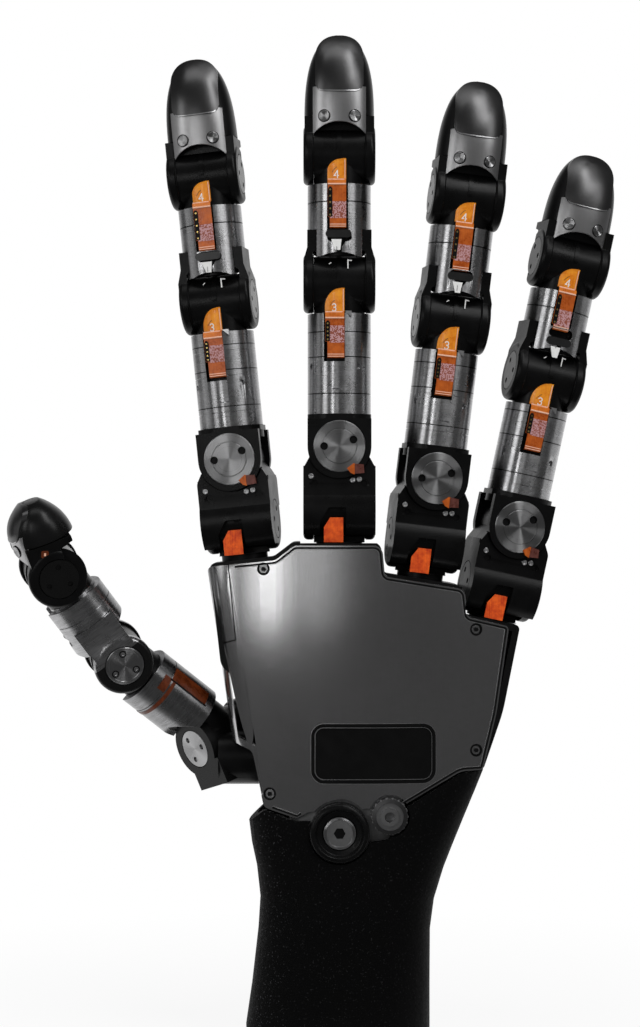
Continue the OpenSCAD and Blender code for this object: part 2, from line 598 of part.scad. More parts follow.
// Cross frame inside the palm; it carries the knuckles, the motors and the wrist
module palm_chassis() color([0.55, 0.55, 0.57]) difference() {
    union() {
        intersection() {
            plate_xz(-7, 4.6) polygon(rounded(chassis_corners));
            arch(back_wall + 3);
        }
        // wrist lug behind the clamp screw and the knob
        intersection() {
            arch(back_wall + 0.25);
            plate_xz(-9.5, -6.5) polygon(rounded(lug_corners));
        }
        plate_xz(-6.6, 7.5) polygon([[-12, 72], [-12, 60], [-leg_x, 50], [-leg_x, flange_t],
            [-leg_x + 3, flange_t], [-leg_x + 3, 46], [leg_x - 3, 46], [leg_x - 3, flange_t], [leg_x, flange_t],
            [leg_x, 50], [14, 60], [14, 72]]);
        thumb_axis() translate([0, 0, -17]) cylinder(r = boss_r, h = 16.7);
    }
    for (f = FINGERS) at_base(f) {
        translate([0, 0, stub_low - seat]) cylinder(r = stub_r + seat, h = -stub_low);
        translate([0, 0, -motor_end - 0.5]) cylinder(r = motor_r + seat, h = motor_end);
    }
    thumb_axis() translate([0, 0, -5.3]) cylinder(r = thumb_pin_r + run_fit, h = 8);
    translate([clamp_at.x, 0, clamp_at.y]) along_y(2 + seat, -20, 0);
    translate([knob_at.x, 0, knob_at.y]) along_y(1.5 + seat, -20, 0);
    fold_room();
}
module knuckle_housings() color([0.06, 0.06, 0.07]) for (f = FINGERS) at_base(f) difference() {
    union() {
        gear_knuckle(0.1 - neck_low);
        translate([0, 0, stub_low]) cylinder(r = stub_r, h = 8);
    }
    // room for the cover of the yoke, which runs down the back of the knuckle
    difference() {
        box([-half_w, -20, neck_low], [half_w, 0, -0.4]);
        along_x(knuckle_r - 0.15, 2 * half_w + 2);
    }
}
module trunnion_caps() color([0.72, 0.73, 0.75]) for (f = FINGERS) at_base(f) caps();
// Flexible circuits that loop from the palm over the knuckles
module base_ribbons() color([0.9, 0.36, 0.05]) for (f = FINGERS) at_base(f)
    plate_xz(-knuckle_r - ribbon_t - seat, -knuckle_r - seat) polygon([[ribbon_x - ribbon_w, neck_low],
        [ribbon_x - ribbon_w, -4.4], [ribbon_x - 0.9, -1.9], [ribbon_x + ribbon_w, -1.9],
        [ribbon_x + ribbon_w, neck_low]]);
module badge_plate() color([0.02, 0.02, 0.02]) intersection() {
    plate_xz(-palm_back - 2, -5) rounded_box(badge[0], badge[1] - [0.5, 0.5], badge[2] - 0.25);
    arch(0.35);
    difference() {
        arch(0);
        arch(back_wall + 0.05);
    }
}
module shell_screws() color([0.5, 0.5, 0.52]) for (p = screw_at) intersection() {
    translate([p.x, 0, p.y]) along_y(screw_r, -20, 0);
    difference() {
        arch(0.3);
        arch(back_wall + 0.05);
    }
}
module palm_motors() color([0.45, 0.45, 0.47]) for (f = FINGERS) at_base(f) difference() {
    translate([0, 0, -motor_end]) cylinder(r = motor_r, h = motor_end - 14.1);
    translate([0, 0, -motor_end - 1]) cylinder(r = 1.2, h = 4);
}
module control_board() color([0.05, 0.25, 0.12]) let (y = palm_front - front_wall - 0.3) {
    plate_xz(y - board_t, y) polygon(rounded([[-10, 82, 2], [24, 82, 2], [25, 99, 2], [-10, 104, 2]]));
    for (x = [-4, 8]) box([x, y - board_t - 1, 86], [x + 6, y - board_t, 94]);
}

// ---------- wrist ----------
// Sections from the flange up: [height, thumb side, little-finger side, back, front]
sleeve_top = 72;
wrist_rings = [[flange_t, -24.2, 23.5, -18, 18], [16, -22.6, 23.5, -17.2, 17.6],
    [30, -21, 23.6, -16.2, 17], [38, -20.5, 24.7, -15.4, 16.6], [46, -21.4, 27.2, -14.6, 16.2],
    [52, -22.7, 29.6, -14.2, 16], [59, -23.6, 32.5, -13.8, 15.8], [66, -24, 35.5, -12.6, 15.4],
    [sleeve_top, -24.2, 38, -11.4, 15]];
mouth_corners = [[-60, 56, 0], [-24.4, 57, 1], [-19.2, 61.4, 1.5], [-11.2, 58.7, 1], [-5, 59, 1],
    [-2, 52.2, 1], [12.4, 54.2, 1], [17.2, 62.4, 1.5], [31.2, 70.7, 5], [38.4, 70.9, 0],
    [60, 70.9, 0], [60, 90, 0], [-60, 90, 0]];
function oval(c, inset, n = 36, e = 0.74) = [for (i = [0:n - 1]) let (a = 360 * i / n)
    [(c[1] + c[2]) / 2 + ((c[2] - c[1]) / 2 - inset) * sgn(cos(a)) * pow(abs(cos(a)), e),
     (c[3] + c[4]) / 2 + ((c[4] - c[3]) / 2 - inset) * sgn(sin(a)) * pow(abs(sin(a)), e), c[0]]];
module wrist_sleeve() color([0.04, 0.04, 0.045]) difference() {
    loft([for (c = wrist_rings) oval(c, 0)]);
    loft([for (c = wrist_rings) [for (p = oval(c, wrist_wall))
        [p.x, p.y, p.z == flange_t ? p.z - 1 : p.z == sleeve_top ? p.z + 1 : p.z]]]);
    // the palm's lower edge sits in the sleeve's mouth
    plate_xz(-30, 30) polygon(rounded(mouth_corners));
    for (k = [[clamp_at, clamp_r], [knob_at, knob_r]])
        translate([k[0].x, 0, k[0].y]) along_y(k[1] + 0.4, -30, 0);
    thumb_axis() translate([0, 0, -3]) cylinder(r = 8.5, h = 40);
}
module wrist_flange() color([0.3, 0.3, 0.32]) difference() {
    linear_extrude(flange_t) polygon([for (p = oval(wrist_rings[0], 0)) [p.x, p.y]]);
    translate([0, 0, -1]) cylinder(r = pilot_r, h = 20);
    for (a = [45:90:315]) rotate([0, 0, a])
        translate([flange_pcd / 2, 0, -1]) cylinder(r = flange_hole_r, h = 20);
}
module wrist_clamp_ring() color([0.04, 0.04, 0.04]) translate([clamp_at.x, 0, clamp_at.y]) rotate([90, 0, 0])
    rotate_extrude() polygon(rounded([[2.4, 9.5, 0], [clamp_r, 9.5, 0], [clamp_r, 14.8, 0.8], [6.4, 15.3, 0.4],
        [5.6, 14.2, 0.4], [4.4, 14, 0], [4.4, 12.6, 0], [2.4, 12.6, 0]]));
module wrist_screws() color([0.5, 0.5, 0.52]) {
    translate([clamp_at.x, 0, clamp_at.y]) difference() {
        union() {
            along_y(4.1, -14.3, -12.6);
            along_y(2, -13, -4);
        }
        translate([0, -14.3, 0]) rotate([90, 0, 0]) cylinder(r = 1.5, h = 2.4, center = true, $fn = 6);
    }
    translate([knob_at.x, 0, knob_at.y]) difference() {
        union() {
            along_y(knob_r - 0.15, -13.2, -9.5);
            along_y(2.3, -14.4, -13);
            along_y(1.5, -10, -4);
            for (a = [0:20:359]) rotate([0, a, 0])
                translate([knob_r - 0.25, 0, 0]) along_y(0.35, -12.9, -9.6);
        }
        along_y(1.3, -20, -11.5);
    }
}

// ---------- the model ----------
module finger_piece(piece, f) {
    if (piece == "base_yoke") at_base(f) base_yoke();
    if (piece == "spread_axle") at_spread(f) spread_axle();
    if (piece == "proximal_frame") at_spread(f) proximal_frame(f[3][0]);
    if (piece == "proximal_sleeve") at_spread(f) proximal_sleeve(f[3][0]);
    if (piece == "middle_frame") at_middle(f) middle_frame(f[3][1]);
    if (piece == "middle_sleeve") at_middle(f) middle_sleeve(f[3][1]);
    if (piece == "tip_core") at_end(f) tip_core(f[3][2]);
    if (piece == "nail_plate") at_end(f) nail_plate(f[3][2]);
    if (piece == "tip_pad") at_end(f) tip_pad(f[3][2]);
}
module thumb_piece(piece) {
    if (piece == "base_yoke") thumb_yoke();
    if (piece == "spread_axle") thumb_square() thumb_axle();
    if (piece == "proximal_frame") thumb_spread() thumb_frame(thumb_len[0]);
    if (piece == "proximal_sleeve") thumb_spread() thumb_sleeve(thumb_len[0]);
    // the thumb's end joint has plain black caps, part of its frame
    if (piece == "middle_frame") thumb_middle() {
        middle_frame(thumb_len[1]);
        color([0.06, 0.06, 0.07]) translate([0, 0, thumb_len[1]]) caps();
    }
    if (piece == "middle_sleeve") thumb_middle() middle_sleeve(thumb_len[1], false);
    if (piece == "tip_core") thumb_end() tip_core(thumb_len[2]);
    if (piece == "nail_plate") thumb_end() nail_plate(thumb_len[2]);
    if (piece == "tip_pad") thumb_end() tip_pad(thumb_len[2]);
}
for (i = [0:3]) for (p = pieces)
    finger_piece(p, FINGERS[i]);
for (p = pieces) thumb_piece(p);
palm_back_shell();
palm_front_shell();
palm_grip_pad();
palm_chassis();
knuckle_housings();
trunnion_caps();
base_ribbons();
badge_plate();
shell_screws();
palm_motors();
control_board();
wrist_sleeve();
wrist_flange();
wrist_clamp_ring();
wrist_screws();
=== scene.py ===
import json
import math

import bmesh
import bpy
from mathutils import Matrix, Vector

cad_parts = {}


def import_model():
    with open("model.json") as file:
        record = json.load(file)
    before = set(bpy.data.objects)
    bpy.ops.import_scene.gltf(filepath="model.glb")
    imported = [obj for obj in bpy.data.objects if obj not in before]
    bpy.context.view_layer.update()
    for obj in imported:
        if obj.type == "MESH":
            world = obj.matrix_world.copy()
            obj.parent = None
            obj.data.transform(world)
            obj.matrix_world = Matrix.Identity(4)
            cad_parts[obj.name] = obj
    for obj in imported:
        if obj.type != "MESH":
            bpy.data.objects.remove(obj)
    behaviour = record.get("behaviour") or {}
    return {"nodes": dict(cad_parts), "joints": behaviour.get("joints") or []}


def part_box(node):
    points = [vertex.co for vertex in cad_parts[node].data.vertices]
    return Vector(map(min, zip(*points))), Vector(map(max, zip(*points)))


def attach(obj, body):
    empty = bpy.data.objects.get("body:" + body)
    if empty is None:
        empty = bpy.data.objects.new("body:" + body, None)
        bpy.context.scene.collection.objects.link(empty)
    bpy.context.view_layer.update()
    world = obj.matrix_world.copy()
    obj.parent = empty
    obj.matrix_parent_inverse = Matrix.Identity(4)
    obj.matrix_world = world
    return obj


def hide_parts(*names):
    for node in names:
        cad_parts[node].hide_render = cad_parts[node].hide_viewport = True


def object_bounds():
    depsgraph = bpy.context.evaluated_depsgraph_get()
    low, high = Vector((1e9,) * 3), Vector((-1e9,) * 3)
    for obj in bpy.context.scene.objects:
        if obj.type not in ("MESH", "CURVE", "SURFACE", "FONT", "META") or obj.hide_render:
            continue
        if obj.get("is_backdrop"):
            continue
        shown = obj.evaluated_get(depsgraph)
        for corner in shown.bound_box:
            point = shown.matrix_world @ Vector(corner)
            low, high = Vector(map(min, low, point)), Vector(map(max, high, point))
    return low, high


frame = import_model()
CAD_LOW, CAD_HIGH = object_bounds()
scene = bpy.context.scene
MM = 0.001
JOINT = {j["name"]: j for j in frame["joints"]}
FINGERS = ("index", "middle", "ring", "little")
CHAINS = FINGERS + ("thumb",)

# Sizes of the CAD parts, in millimetres
SLEEVE_R = 8.2
CORE_R = 6.65
KNUCKLE_R = 7.0
PALM_BACK = 11.5
ARCH_R = 110.0
PALM_X = 3.0
AXIS = 0.0001  # a radius that counts as the axis of a turned shape


# ---------- frames ----------
def rigid(origin, x, z):
    """A frame from its origin in metres, its x axis and roughly its z axis."""
    x, z = Vector(x).normalized(), Vector(z).normalized()
    y = z.cross(x).normalized()
    m = Matrix((x, y, x.cross(y))).transposed().to_4x4()
    m.translation = Vector(origin)
    return m


def shift(x=0.0, y=0.0, z=0.0):
    """A move in millimetres."""
    return Matrix.Translation((x * MM, y * MM, z * MM))


def quarter_turn(axis):
    return Matrix.Rotation(math.radians(90), 4, axis)


def joint_pos(name):
    return Vector(JOINT[name]["pos_m"])


def joint_axis(name):
    return Vector(JOINT[name]["axis"])


# Each link's frame has z along the finger and y into the hand; "first" and "second" are lengths of phalanxes
LINK = {}
for f in FINGERS:
    a, b, c, d = (joint_pos(f + s) for s in ("_mcp_flex", "_spread", "_pip_flex", "_dip_flex"))
    x = -joint_axis(f + "_pip_flex")
    LINK[f, "base"] = rigid(a, x, b - a)
    LINK[f, "spread"] = rigid(b, x, c - b)
    LINK[f, "middle"] = rigid(c, x, d - c)
    LINK[f, "tip"] = rigid(d, x, d - c)
    LINK[f, "first"], LINK[f, "second"] = (c - b).length / MM, (d - c).length / MM
hub, b, c = (joint_pos(n) for n in ("thumb_abduct", "thumb_mcp_flex", "thumb_ip_flex"))
x = -joint_axis("thumb_mcp_flex")
THUMB_TIP_BEND = -16
LINK["thumb", "spread"] = rigid(hub, x, b - hub)
LINK["thumb", "middle"] = rigid(b, x, c - b)
LINK["thumb", "tip"] = rigid(c, x, c - b) @ Matrix.Rotation(math.radians(THUMB_TIP_BEND), 4, "X")
y = -joint_axis("thumb_abduct")
LINK["thumb", "hub"] = rigid(hub, y.cross(b - hub), (b - hub) - (b - hub).dot(y) * y)
LINK["thumb", "first"], LINK["thumb", "second"] = (b - hub).length / MM, (c - b).length / MM
WORLD = Matrix.Identity(4)


# ---------- materials ----------
class Tree:
    """A short way to write a node tree."""

    def __init__(self, tree):
        self.tree = tree

    def add(self, kind, options=None, **inputs):
        n = self.tree.nodes.new(kind)
        for k, v in (options or {}).items():
            setattr(n, k, v)
        for k, v in inputs.items():
            self.set(n, k.replace("_", " "), v)
        return n

    def set(self, n, key, v):
        """Links a socket to an input, or sets the input's value."""
        if isinstance(v, bpy.types.NodeSocket):
            self.tree.links.new(v, n.inputs[key])
        else:
            n.inputs[key].default_value = v

    def spread(self, v, lo, hi, a=0.0, b=1.0):
        return self.add("ShaderNodeMapRange", Value=v, From_Min=lo, From_Max=hi, To_Min=a,
                        To_Max=b).outputs[0]

    def math(self, op, *values, clamp=False):
        n = self.add("ShaderNodeMath", {"operation": op, "use_clamp": clamp})
        for i, v in enumerate(values):
            self.set(n, i, v)
        return n.outputs[0]

    def mix(self, fac, a, b):
        """Mixes two colours."""
        n = self.add("ShaderNodeMix", {"data_type": "RGBA"})
        for i, v in ((0, fac), (6, a), (7, b)):
            self.set(n, i, (*v, 1.0) if isinstance(v, tuple) else v)
        return n.outputs[2]

    def blend(self, fac, a, b):
        """Mixes two values."""
        n = self.add("ShaderNodeMix", {"data_type": "FLOAT"})
        for i, v in ((0, fac), (2, a), (3, b)):
            self.set(n, i, v)
        return n.outputs[0]

    def vector(self, op, a, b=(0, 0, 0), scale=None):
        n = self.add("ShaderNodeVectorMath", {"operation": op})
        self.set(n, 0, a)
        if scale is None:
            self.set(n, 1, b)
        else:
            self.set(n, "Scale", scale)
        return n.outputs["Value" if op in ("DOT_PRODUCT", "LENGTH", "DISTANCE") else "Vector"]


class Nodes(Tree):
    """A material's node tree; with a frame m, its noise lies in that frame."""

    def __init__(self, name, m=None):
        self.mat = bpy.data.materials.new(name)
        self.mat.use_nodes = True
        super().__init__(self.mat.node_tree)
        self.shader = self.tree.nodes["Principled BSDF"]
        self.at = self.add("ShaderNodeTexCoord").outputs["Object"]
        if m is not None:
            q = m.inverted()
            self.at = self.add("ShaderNodeMapping", Vector=self.at, Location=q.translation,
                               Rotation=q.to_euler("XYZ")).outputs[0]

    def noise(self, scale, detail=3.0, rough=0.55, at=None, stretch=None):
        v = at or self.at
        if stretch:
            v = self.add("ShaderNodeMapping", Vector=v, Scale=stretch).outputs[0]
        return self.add("ShaderNodeTexNoise", Vector=v, Scale=scale, Detail=detail,
                        Roughness=rough).outputs["Fac"]

    def axes(self):
        return self.add("ShaderNodeSeparateXYZ", Vector=self.at).outputs

    def bump(self, height, depth, strength=1.0, under=None):
        n = self.add("ShaderNodeBump", Height=height, Distance=depth, Strength=strength)
        if under:
            self.set(n, "Normal", under.outputs[0])
        self.set(self.shader, "Normal", n.outputs[0])
        return n

    def near(self, a, b, width, soft=0.06):
        """1 within half the width of the line from a to b, in x and z and in millimetres."""
        a, b = Vector((a[0], 0, a[1])) * MM, Vector((b[0], 0, b[1])) * MM
        d = b - a
        p = self.vector("SUBTRACT", self.vector("MULTIPLY", self.at, (1, 0, 1)), tuple(a))
        t = self.math("MULTIPLY", self.vector("DOT_PRODUCT", p, tuple(d)), 1 / d.length_squared, clamp=True)
        off = self.vector("DISTANCE", p, self.vector("SCALE", tuple(d), scale=t))
        return self.spread(off, (width / 2 - soft) * MM, (width / 2 + soft) * MM, 1.0, 0.0)

    def tangent(self, v):
        """The direction in which highlights are drawn out, given in the object's own space."""
        n = self.add("ShaderNodeVectorTransform", {"vector_type": "VECTOR", "convert_from": "OBJECT",
                                                   "convert_to": "WORLD"})
        self.set(n, 0, v)
        self.set(self.shader, "Tangent", n.outputs[0])

    def finish(self, **values):
        for k, v in values.items():
            self.set(self.shader, k.replace("_", " "), v)
        return self.mat


def grey(tone, share=1.0, blue=None):
    """A share of a grey tone, with another share for blue if it is given."""
    return tone * share, tone * share, tone * (share if blue is None else blue)


BLACK_CAP = grey(0.004)


def black_plastic(name, tone=0.0026, rough=0.3):
    n = Nodes(name)
    wear = n.noise(140.0, 4.0, 0.6)
    fine = n.noise(2600.0, 2.0, 0.5)
    n.bump(fine, 0.00002, 0.6)
    worn = n.math("ADD", n.math("MULTIPLY", wear, 0.7), n.math("MULTIPLY", fine, 0.3))
    return n.finish(Base_Color=n.mix(n.spread(wear, 0.35, 0.7), grey(tone), grey(tone, 1.7, 1.8)),
                    Roughness=n.spread(worn, 0.3, 0.7, rough - 0.07, rough + 0.09), Specular_IOR_Level=0.17)


def rubber(name):
    n = Nodes(name)
    broad = n.noise(90.0)
    n.bump(n.noise(3600.0, 2.0), 0.00002, 0.5)
    return n.finish(Base_Color=n.mix(n.spread(broad, 0.35, 0.7), grey(0.0034), (0.006, 0.006, 0.0063)),
                    Roughness=n.spread(broad, 0.3, 0.7, 0.24, 0.33), Specular_IOR_Level=0.3)


def sleeve_metal(name, m, tone, seams=(), dark_caps=True, zone=None, fleck_share=0.55):
    """Bright metal turned round the sleeve, with small bright flecks and dark seams at some heights.

    The caps beyond the sleeve's radius are black if dark_caps is set, and all is outside the zone of heights."""
    n = Nodes(name, m)
    lines = n.noise(1.0, 3.0, 0.6, stretch=(300.0, 300.0, 7000.0))
    fleck = n.noise(2400.0, 2.0, 0.7)
    stain = n.noise(230.0, 4.0, 0.6)
    tint = n.math("ADD", n.math("MULTIPLY", lines, 1.0 - fleck_share), n.math("MULTIPLY", fleck, fleck_share))
    at = n.axes()
    n.bump(tint, 0.00001 if fleck_share > 0.3 else 0.000003, 0.5)
    color = n.mix(n.spread(tint, 0.36, 0.64), grey(tone, 0.72), grey(tone, 1.22, 1.25))
    for z in seams:
        off = n.math("ABSOLUTE", n.math("SUBTRACT", at["Z"], z * MM))
        color = n.mix(n.spread(off, 0.00008, 0.00016, 1.0, 0.0), color, grey(0.012))
    metallic = 1.0
    if dark_caps:
        metallic = n.math("LESS_THAN", n.math("ABSOLUTE", at["X"]), (SLEEVE_R + 0.12) * MM)
        color = n.mix(metallic, BLACK_CAP, color)
    if zone:
        metallic = n.math("MULTIPLY", n.math("GREATER_THAN", at["Z"], zone[0] * MM),
                          n.math("LESS_THAN", at["Z"], zone[1] * MM))
        color = n.mix(metallic, BLACK_CAP, color)
    n.tangent(tuple(m.col[2].xyz))
    return n.finish(Base_Color=color, Metallic=metallic, Roughness=n.spread(stain, 0.3, 0.7, 0.24, 0.34),
                    Specular_IOR_Level=0.34, Anisotropic=0.8)


def turned_metal(name, q, tone=0.42, axis=2):
    """Metal faced on a lathe: its grain runs in circles round an axis of the frame q."""
    n = Nodes(name)
    axis = tuple(q.col[axis].xyz)
    cross = n.vector("CROSS_PRODUCT", axis, n.vector("SUBTRACT", n.at, tuple(q.translation)))
    radial = n.vector("CROSS_PRODUCT", cross, axis)
    far = n.math("MULTIPLY", n.vector("LENGTH", cross), 9000.0)
    rings = n.noise(1.0, 2.0, 0.6, at=n.add("ShaderNodeCombineXYZ", X=far).outputs[0])
    n.tangent(n.vector("NORMALIZE", radial))
    return n.finish(Base_Color=n.mix(rings, grey(tone, 0.8), grey(tone, 1.15, 1.17)), Metallic=1.0,
                    Roughness=n.spread(rings, 0.3, 0.7, 0.26, 0.35), Anisotropic=1.0)


def shell_metal(name, tone, rough, crown=None, seam=()):
    """Gunmetal with an even fine grain up the hand and faint polishing marks. crown has a height and a radius,
    in metres, of a slight curve up the hand; seam has the lines of a dark joint."""
    n = Nodes(name)
    grain = n.noise(1.0, 3.0, 0.6, stretch=(5200.0, 5200.0, 160.0))
    cloud = n.noise(40.0, 3.0, 0.5)
    marks = n.noise(1.0, 4.0, 0.65, stretch=(420.0, 420.0, 900.0))
    under = None
    if crown:
        up = n.math("SUBTRACT", n.axes()["Z"], crown[0])
        under = n.bump(n.math("MULTIPLY", n.math("MULTIPLY", up, up), -0.5 / crown[1]), 1.0)
    n.bump(grain, 0.000004, 0.25, under)
    both = n.math("ADD", n.math("MULTIPLY", grain, 0.5), n.math("MULTIPLY", marks, 0.5))
    color = n.mix(n.spread(both, 0.35, 0.65), grey(tone, 0.95), (tone * 1.05, tone * 1.04, tone * 1.06))
    for a, b in zip(seam, seam[1:]):
        color = n.mix(n.near(a, b, 0.32), color, grey(0.01))
    return n.finish(Base_Color=color, Metallic=1.0,
                    Roughness=n.spread(cloud, 0.3, 0.7, rough - 0.025, rough + 0.025), Anisotropic=0.35)


def plain_metal(name, tone, rough, grain=900.0):
    n = Nodes(name)
    fine = n.noise(grain, 4.0, 0.6)
    n.bump(fine, 0.00001, 0.3)
    return n.finish(Base_Color=n.mix(fine, grey(tone, 0.82), grey(tone, 1.15, 1.17)), Metallic=1.0,
                    Roughness=n.spread(n.noise(120.0), 0.3, 0.7, rough - 0.05, rough + 0.07))


def film(name, lo, hi, rough=0.3, coat=0.2):
    """Amber film over copper: darker tracks and cloudy patches show through it."""
    n = Nodes(name)
    cloud = n.noise(420.0, 4.0, 0.65)
    tracks = n.noise(1.0, 2.0, 0.5, stretch=(3800.0, 300.0, 90.0))
    n.bump(cloud, 0.00006, 0.5)
    both = n.math("ADD", n.math("MULTIPLY", cloud, 0.75), n.math("MULTIPLY", tracks, 0.25))
    return n.finish(Base_Color=n.mix(n.spread(both, 0.36, 0.62), lo, hi),
                    Roughness=n.spread(cloud, 0.3, 0.7, rough - 0.08, rough + 0.1),
                    Specular_IOR_Level=0.3, Coat_Weight=coat, Coat_Roughness=0.12)


def gloss_black(name, tone=0.003, rough=0.12):
    n = Nodes(name)
    haze = n.noise(260.0)
    return n.finish(Base_Color=n.mix(haze, grey(tone), grey(tone, 1.8)),
                    Roughness=n.spread(haze, 0.3, 0.7, rough, rough + 0.1), Specular_IOR_Level=0.25)


def speckled_black(name):
    """Matte printed polymer: coarse powder grain with tiny bright points; the points are the powder's specks and
    also a painted highlight, full at the left side where the lamps fall and fewer to the right.
    """
    n = Nodes(name)
    grain = n.noise(1500.0, 5.0, 0.7)
    points = n.spread(n.noise(2300.0, 1.0, 0.4), 0.66, 0.75)
    n.bump(grain, 0.00012, 0.7)
    # painted highlight: this mask keeps the bright points full only at the left side, towards the lamps
    side = n.spread(n.axes()["X"], -0.024, -0.012, 1.0, 0.12)
    color = n.mix(n.math("MULTIPLY", points, side), (0.0016, 0.0016, 0.0017), (0.09, 0.09, 0.095))
    return n.finish(Base_Color=color, Roughness=n.spread(grain, 0.35, 0.65, 0.55, 0.75),
                    Specular_IOR_Level=0.07)


def dot_print(name):
    """A generic square of printed specks on a pale ground; it encodes nothing."""
    n = Nodes(name)
    cells = n.add("ShaderNodeTexVoronoi", {"feature": "F1", "distance": "CHEBYCHEV"}, Vector=n.at,
                  Scale=3900.0, Randomness=0.3)
    pick = n.add("ShaderNodeSeparateColor", Color=cells.outputs["Color"]).outputs[0]
    return n.finish(Base_Color=n.mix(n.math("GREATER_THAN", pick, 0.58), (0.5, 0.27, 0.28), (0.26, 0.06, 0.03)),
                    Roughness=n.spread(n.noise(700.0), 0.3, 0.7, 0.35, 0.5))


def plain_paint(name, a, b, rough, metallic=0.0):
    n = Nodes(name)
    fine = n.noise(800.0)
    n.bump(fine, 0.00002, 0.4)
    return n.finish(Base_Color=n.mix(fine, a, b), Metallic=metallic,
                    Roughness=n.spread(n.noise(200.0), 0.3, 0.7, rough - 0.06, rough + 0.08))


CROWN = (0.0956, 0.37)
SEAM = [(-28.7, 125.0), (-26.7, 104.9), (-31.5, 103.5)]
MAT = {
    "plastic": black_plastic("black_polymer"),
    "plastic_matt": black_plastic("black_polymer_matt", 0.003, 0.42),
    "rubber": rubber("pad_rubber"),
    "shell": shell_metal("shell_metal", 0.5, 0.205, CROWN, SEAM),
    "nail": shell_metal("nail_metal", 0.115, 0.31),
    "nail_base": shell_metal("nail_base_metal", 0.42, 0.34),
    # painted highlight: a brighter metal laid as thin lines and facets where edges and bevels catch the lamps
    "edge_light": plain_metal("highlight_metal", 0.6, 0.3),
    "frame": plain_metal("frame_metal", 0.3, 0.4),
    "motor": plain_metal("motor_steel", 0.4, 0.3),
    "screw": plain_metal("screw_steel", 0.5, 0.26, 1600.0),
    "flange": plain_metal("flange_metal", 0.02, 0.4),
    "clamp": plain_metal("clamp_steel", 0.34, 0.4, 1600.0),
    "knob": plain_metal("knob_steel", 0.12, 0.36, 1600.0),
    "film": film("ribbon_film", (0.5, 0.11, 0.01), (0.72, 0.2, 0.02)),
    "film_light": film("ribbon_film_light", (0.64, 0.17, 0.006), (0.84, 0.31, 0.012)),
    "film_deep": film("ribbon_film_brown", (0.3, 0.05, 0.004), (0.52, 0.11, 0.008)),
    "film_red": film("ribbon_film_deep", (0.5, 0.03, 0.002), (0.9, 0.13, 0.006), 0.42, 0.0),
    "film_brown": film("ribbon_film_dark", (0.06, 0.012, 0.003), (0.14, 0.026, 0.004)),
    "film_dusk": film("ribbon_film_dusk", (0.07, 0.018, 0.012), (0.14, 0.045, 0.036)),
    "eye": gloss_black("eye_gloss", 0.012, 0.1),
    "film_pale": plain_paint("ribbon_fold", (0.78, 0.4, 0.26), (0.86, 0.56, 0.42), 0.3),
    "film_dark": plain_paint("ribbon_trace", (0.05, 0.02, 0.008), (0.09, 0.035, 0.01), 0.4),
    "ink": plain_paint("white_ink", grey(0.72), (0.85, 0.85, 0.83), 0.45),
    "gold": plain_paint("gold_pads", (0.5, 0.34, 0.1), (0.75, 0.55, 0.2), 0.3, 1.0),
    "badge": gloss_black("badge_gloss"),
    "wrist": speckled_black("wrist_polymer"),
    "ring": black_plastic("ring_polymer", 0.003, 0.26),
    "board": plain_paint("board_green", (0.015, 0.12, 0.05), (0.03, 0.2, 0.08), 0.35),
    "print": dot_print("dot_print"),
}


def material(mat):
    """A material from its key in MAT; a material is taken as it is."""
    return MAT[mat] if isinstance(mat, str) else mat


# ---------- CAD pieces: welded, softened edges ----------
def smooth_group():
    """Geometry nodes that shade a mesh smooth, with sharp edges over an angle."""
    g = bpy.data.node_groups.new("smooth_by_angle", "GeometryNodeTree")
    for way in ("OUTPUT", "INPUT"):
        g.interface.new_socket("Geometry", in_out=way, socket_type="NodeSocketGeometry")
    t = Tree(g)
    less = t.add("FunctionNodeCompare", {"data_type": "FLOAT", "operation": "LESS_THAN"})
    t.set(less, 0, t.add("GeometryNodeInputMeshEdgeAngle").outputs["Unsigned Angle"])
    t.set(less, 1, math.radians(32))
    chain = (t.add("NodeGroupInput"), t.add("GeometryNodeRemoveAttribute", Name="custom_normal"),
             t.add("GeometryNodeSetShadeSmooth", {"domain": "FACE"}),
             t.add("GeometryNodeSetShadeSmooth", {"domain": "EDGE"}, Shade_Smooth=less.outputs[0]),
             t.add("NodeGroupOutput"))
    for a, b in zip(chain, chain[1:]):
        t.set(b, 0, a.outputs[0])
    return g


SMOOTH = smooth_group()


def even_normals(o):
    n = o.modifiers.new("normals", "WEIGHTED_NORMAL")
    n.keep_sharp, n.weight = True, 100


def use_cad(node, mat, width):
    """Paints a CAD node, welds it, dissolves flat facets, rounds its edges a little and shades it smooth."""
    o = frame["nodes"][node]
    o.data.materials.clear()
    o.data.materials.append(material(mat))
    w = o.modifiers.new("weld", "WELD")
    w.merge_threshold = 2e-6
    if width:
        d = o.modifiers.new("flats", "DECIMATE")
        d.decimate_type, d.angle_limit = "DISSOLVE", math.radians(0.6)
        b = o.modifiers.new("edge", "BEVEL")
        b.limit_method, b.angle_limit = "ANGLE", math.radians(38)
        b.width, b.segments, b.use_clamp_overlap = width * MM, 2, True
        b.miter_outer = "MITER_ARC"
    o.modifiers.new("smooth", "NODES").node_group = SMOOTH
    even_normals(o)


# ---------- mesh helpers ----------
def shade(data, angle):
    """Smooth shading with sharp edges over an angle."""
    data.polygons.foreach_set("use_smooth", [True] * len(data.polygons))
    data.set_sharp_from_angle(angle=math.radians(angle))


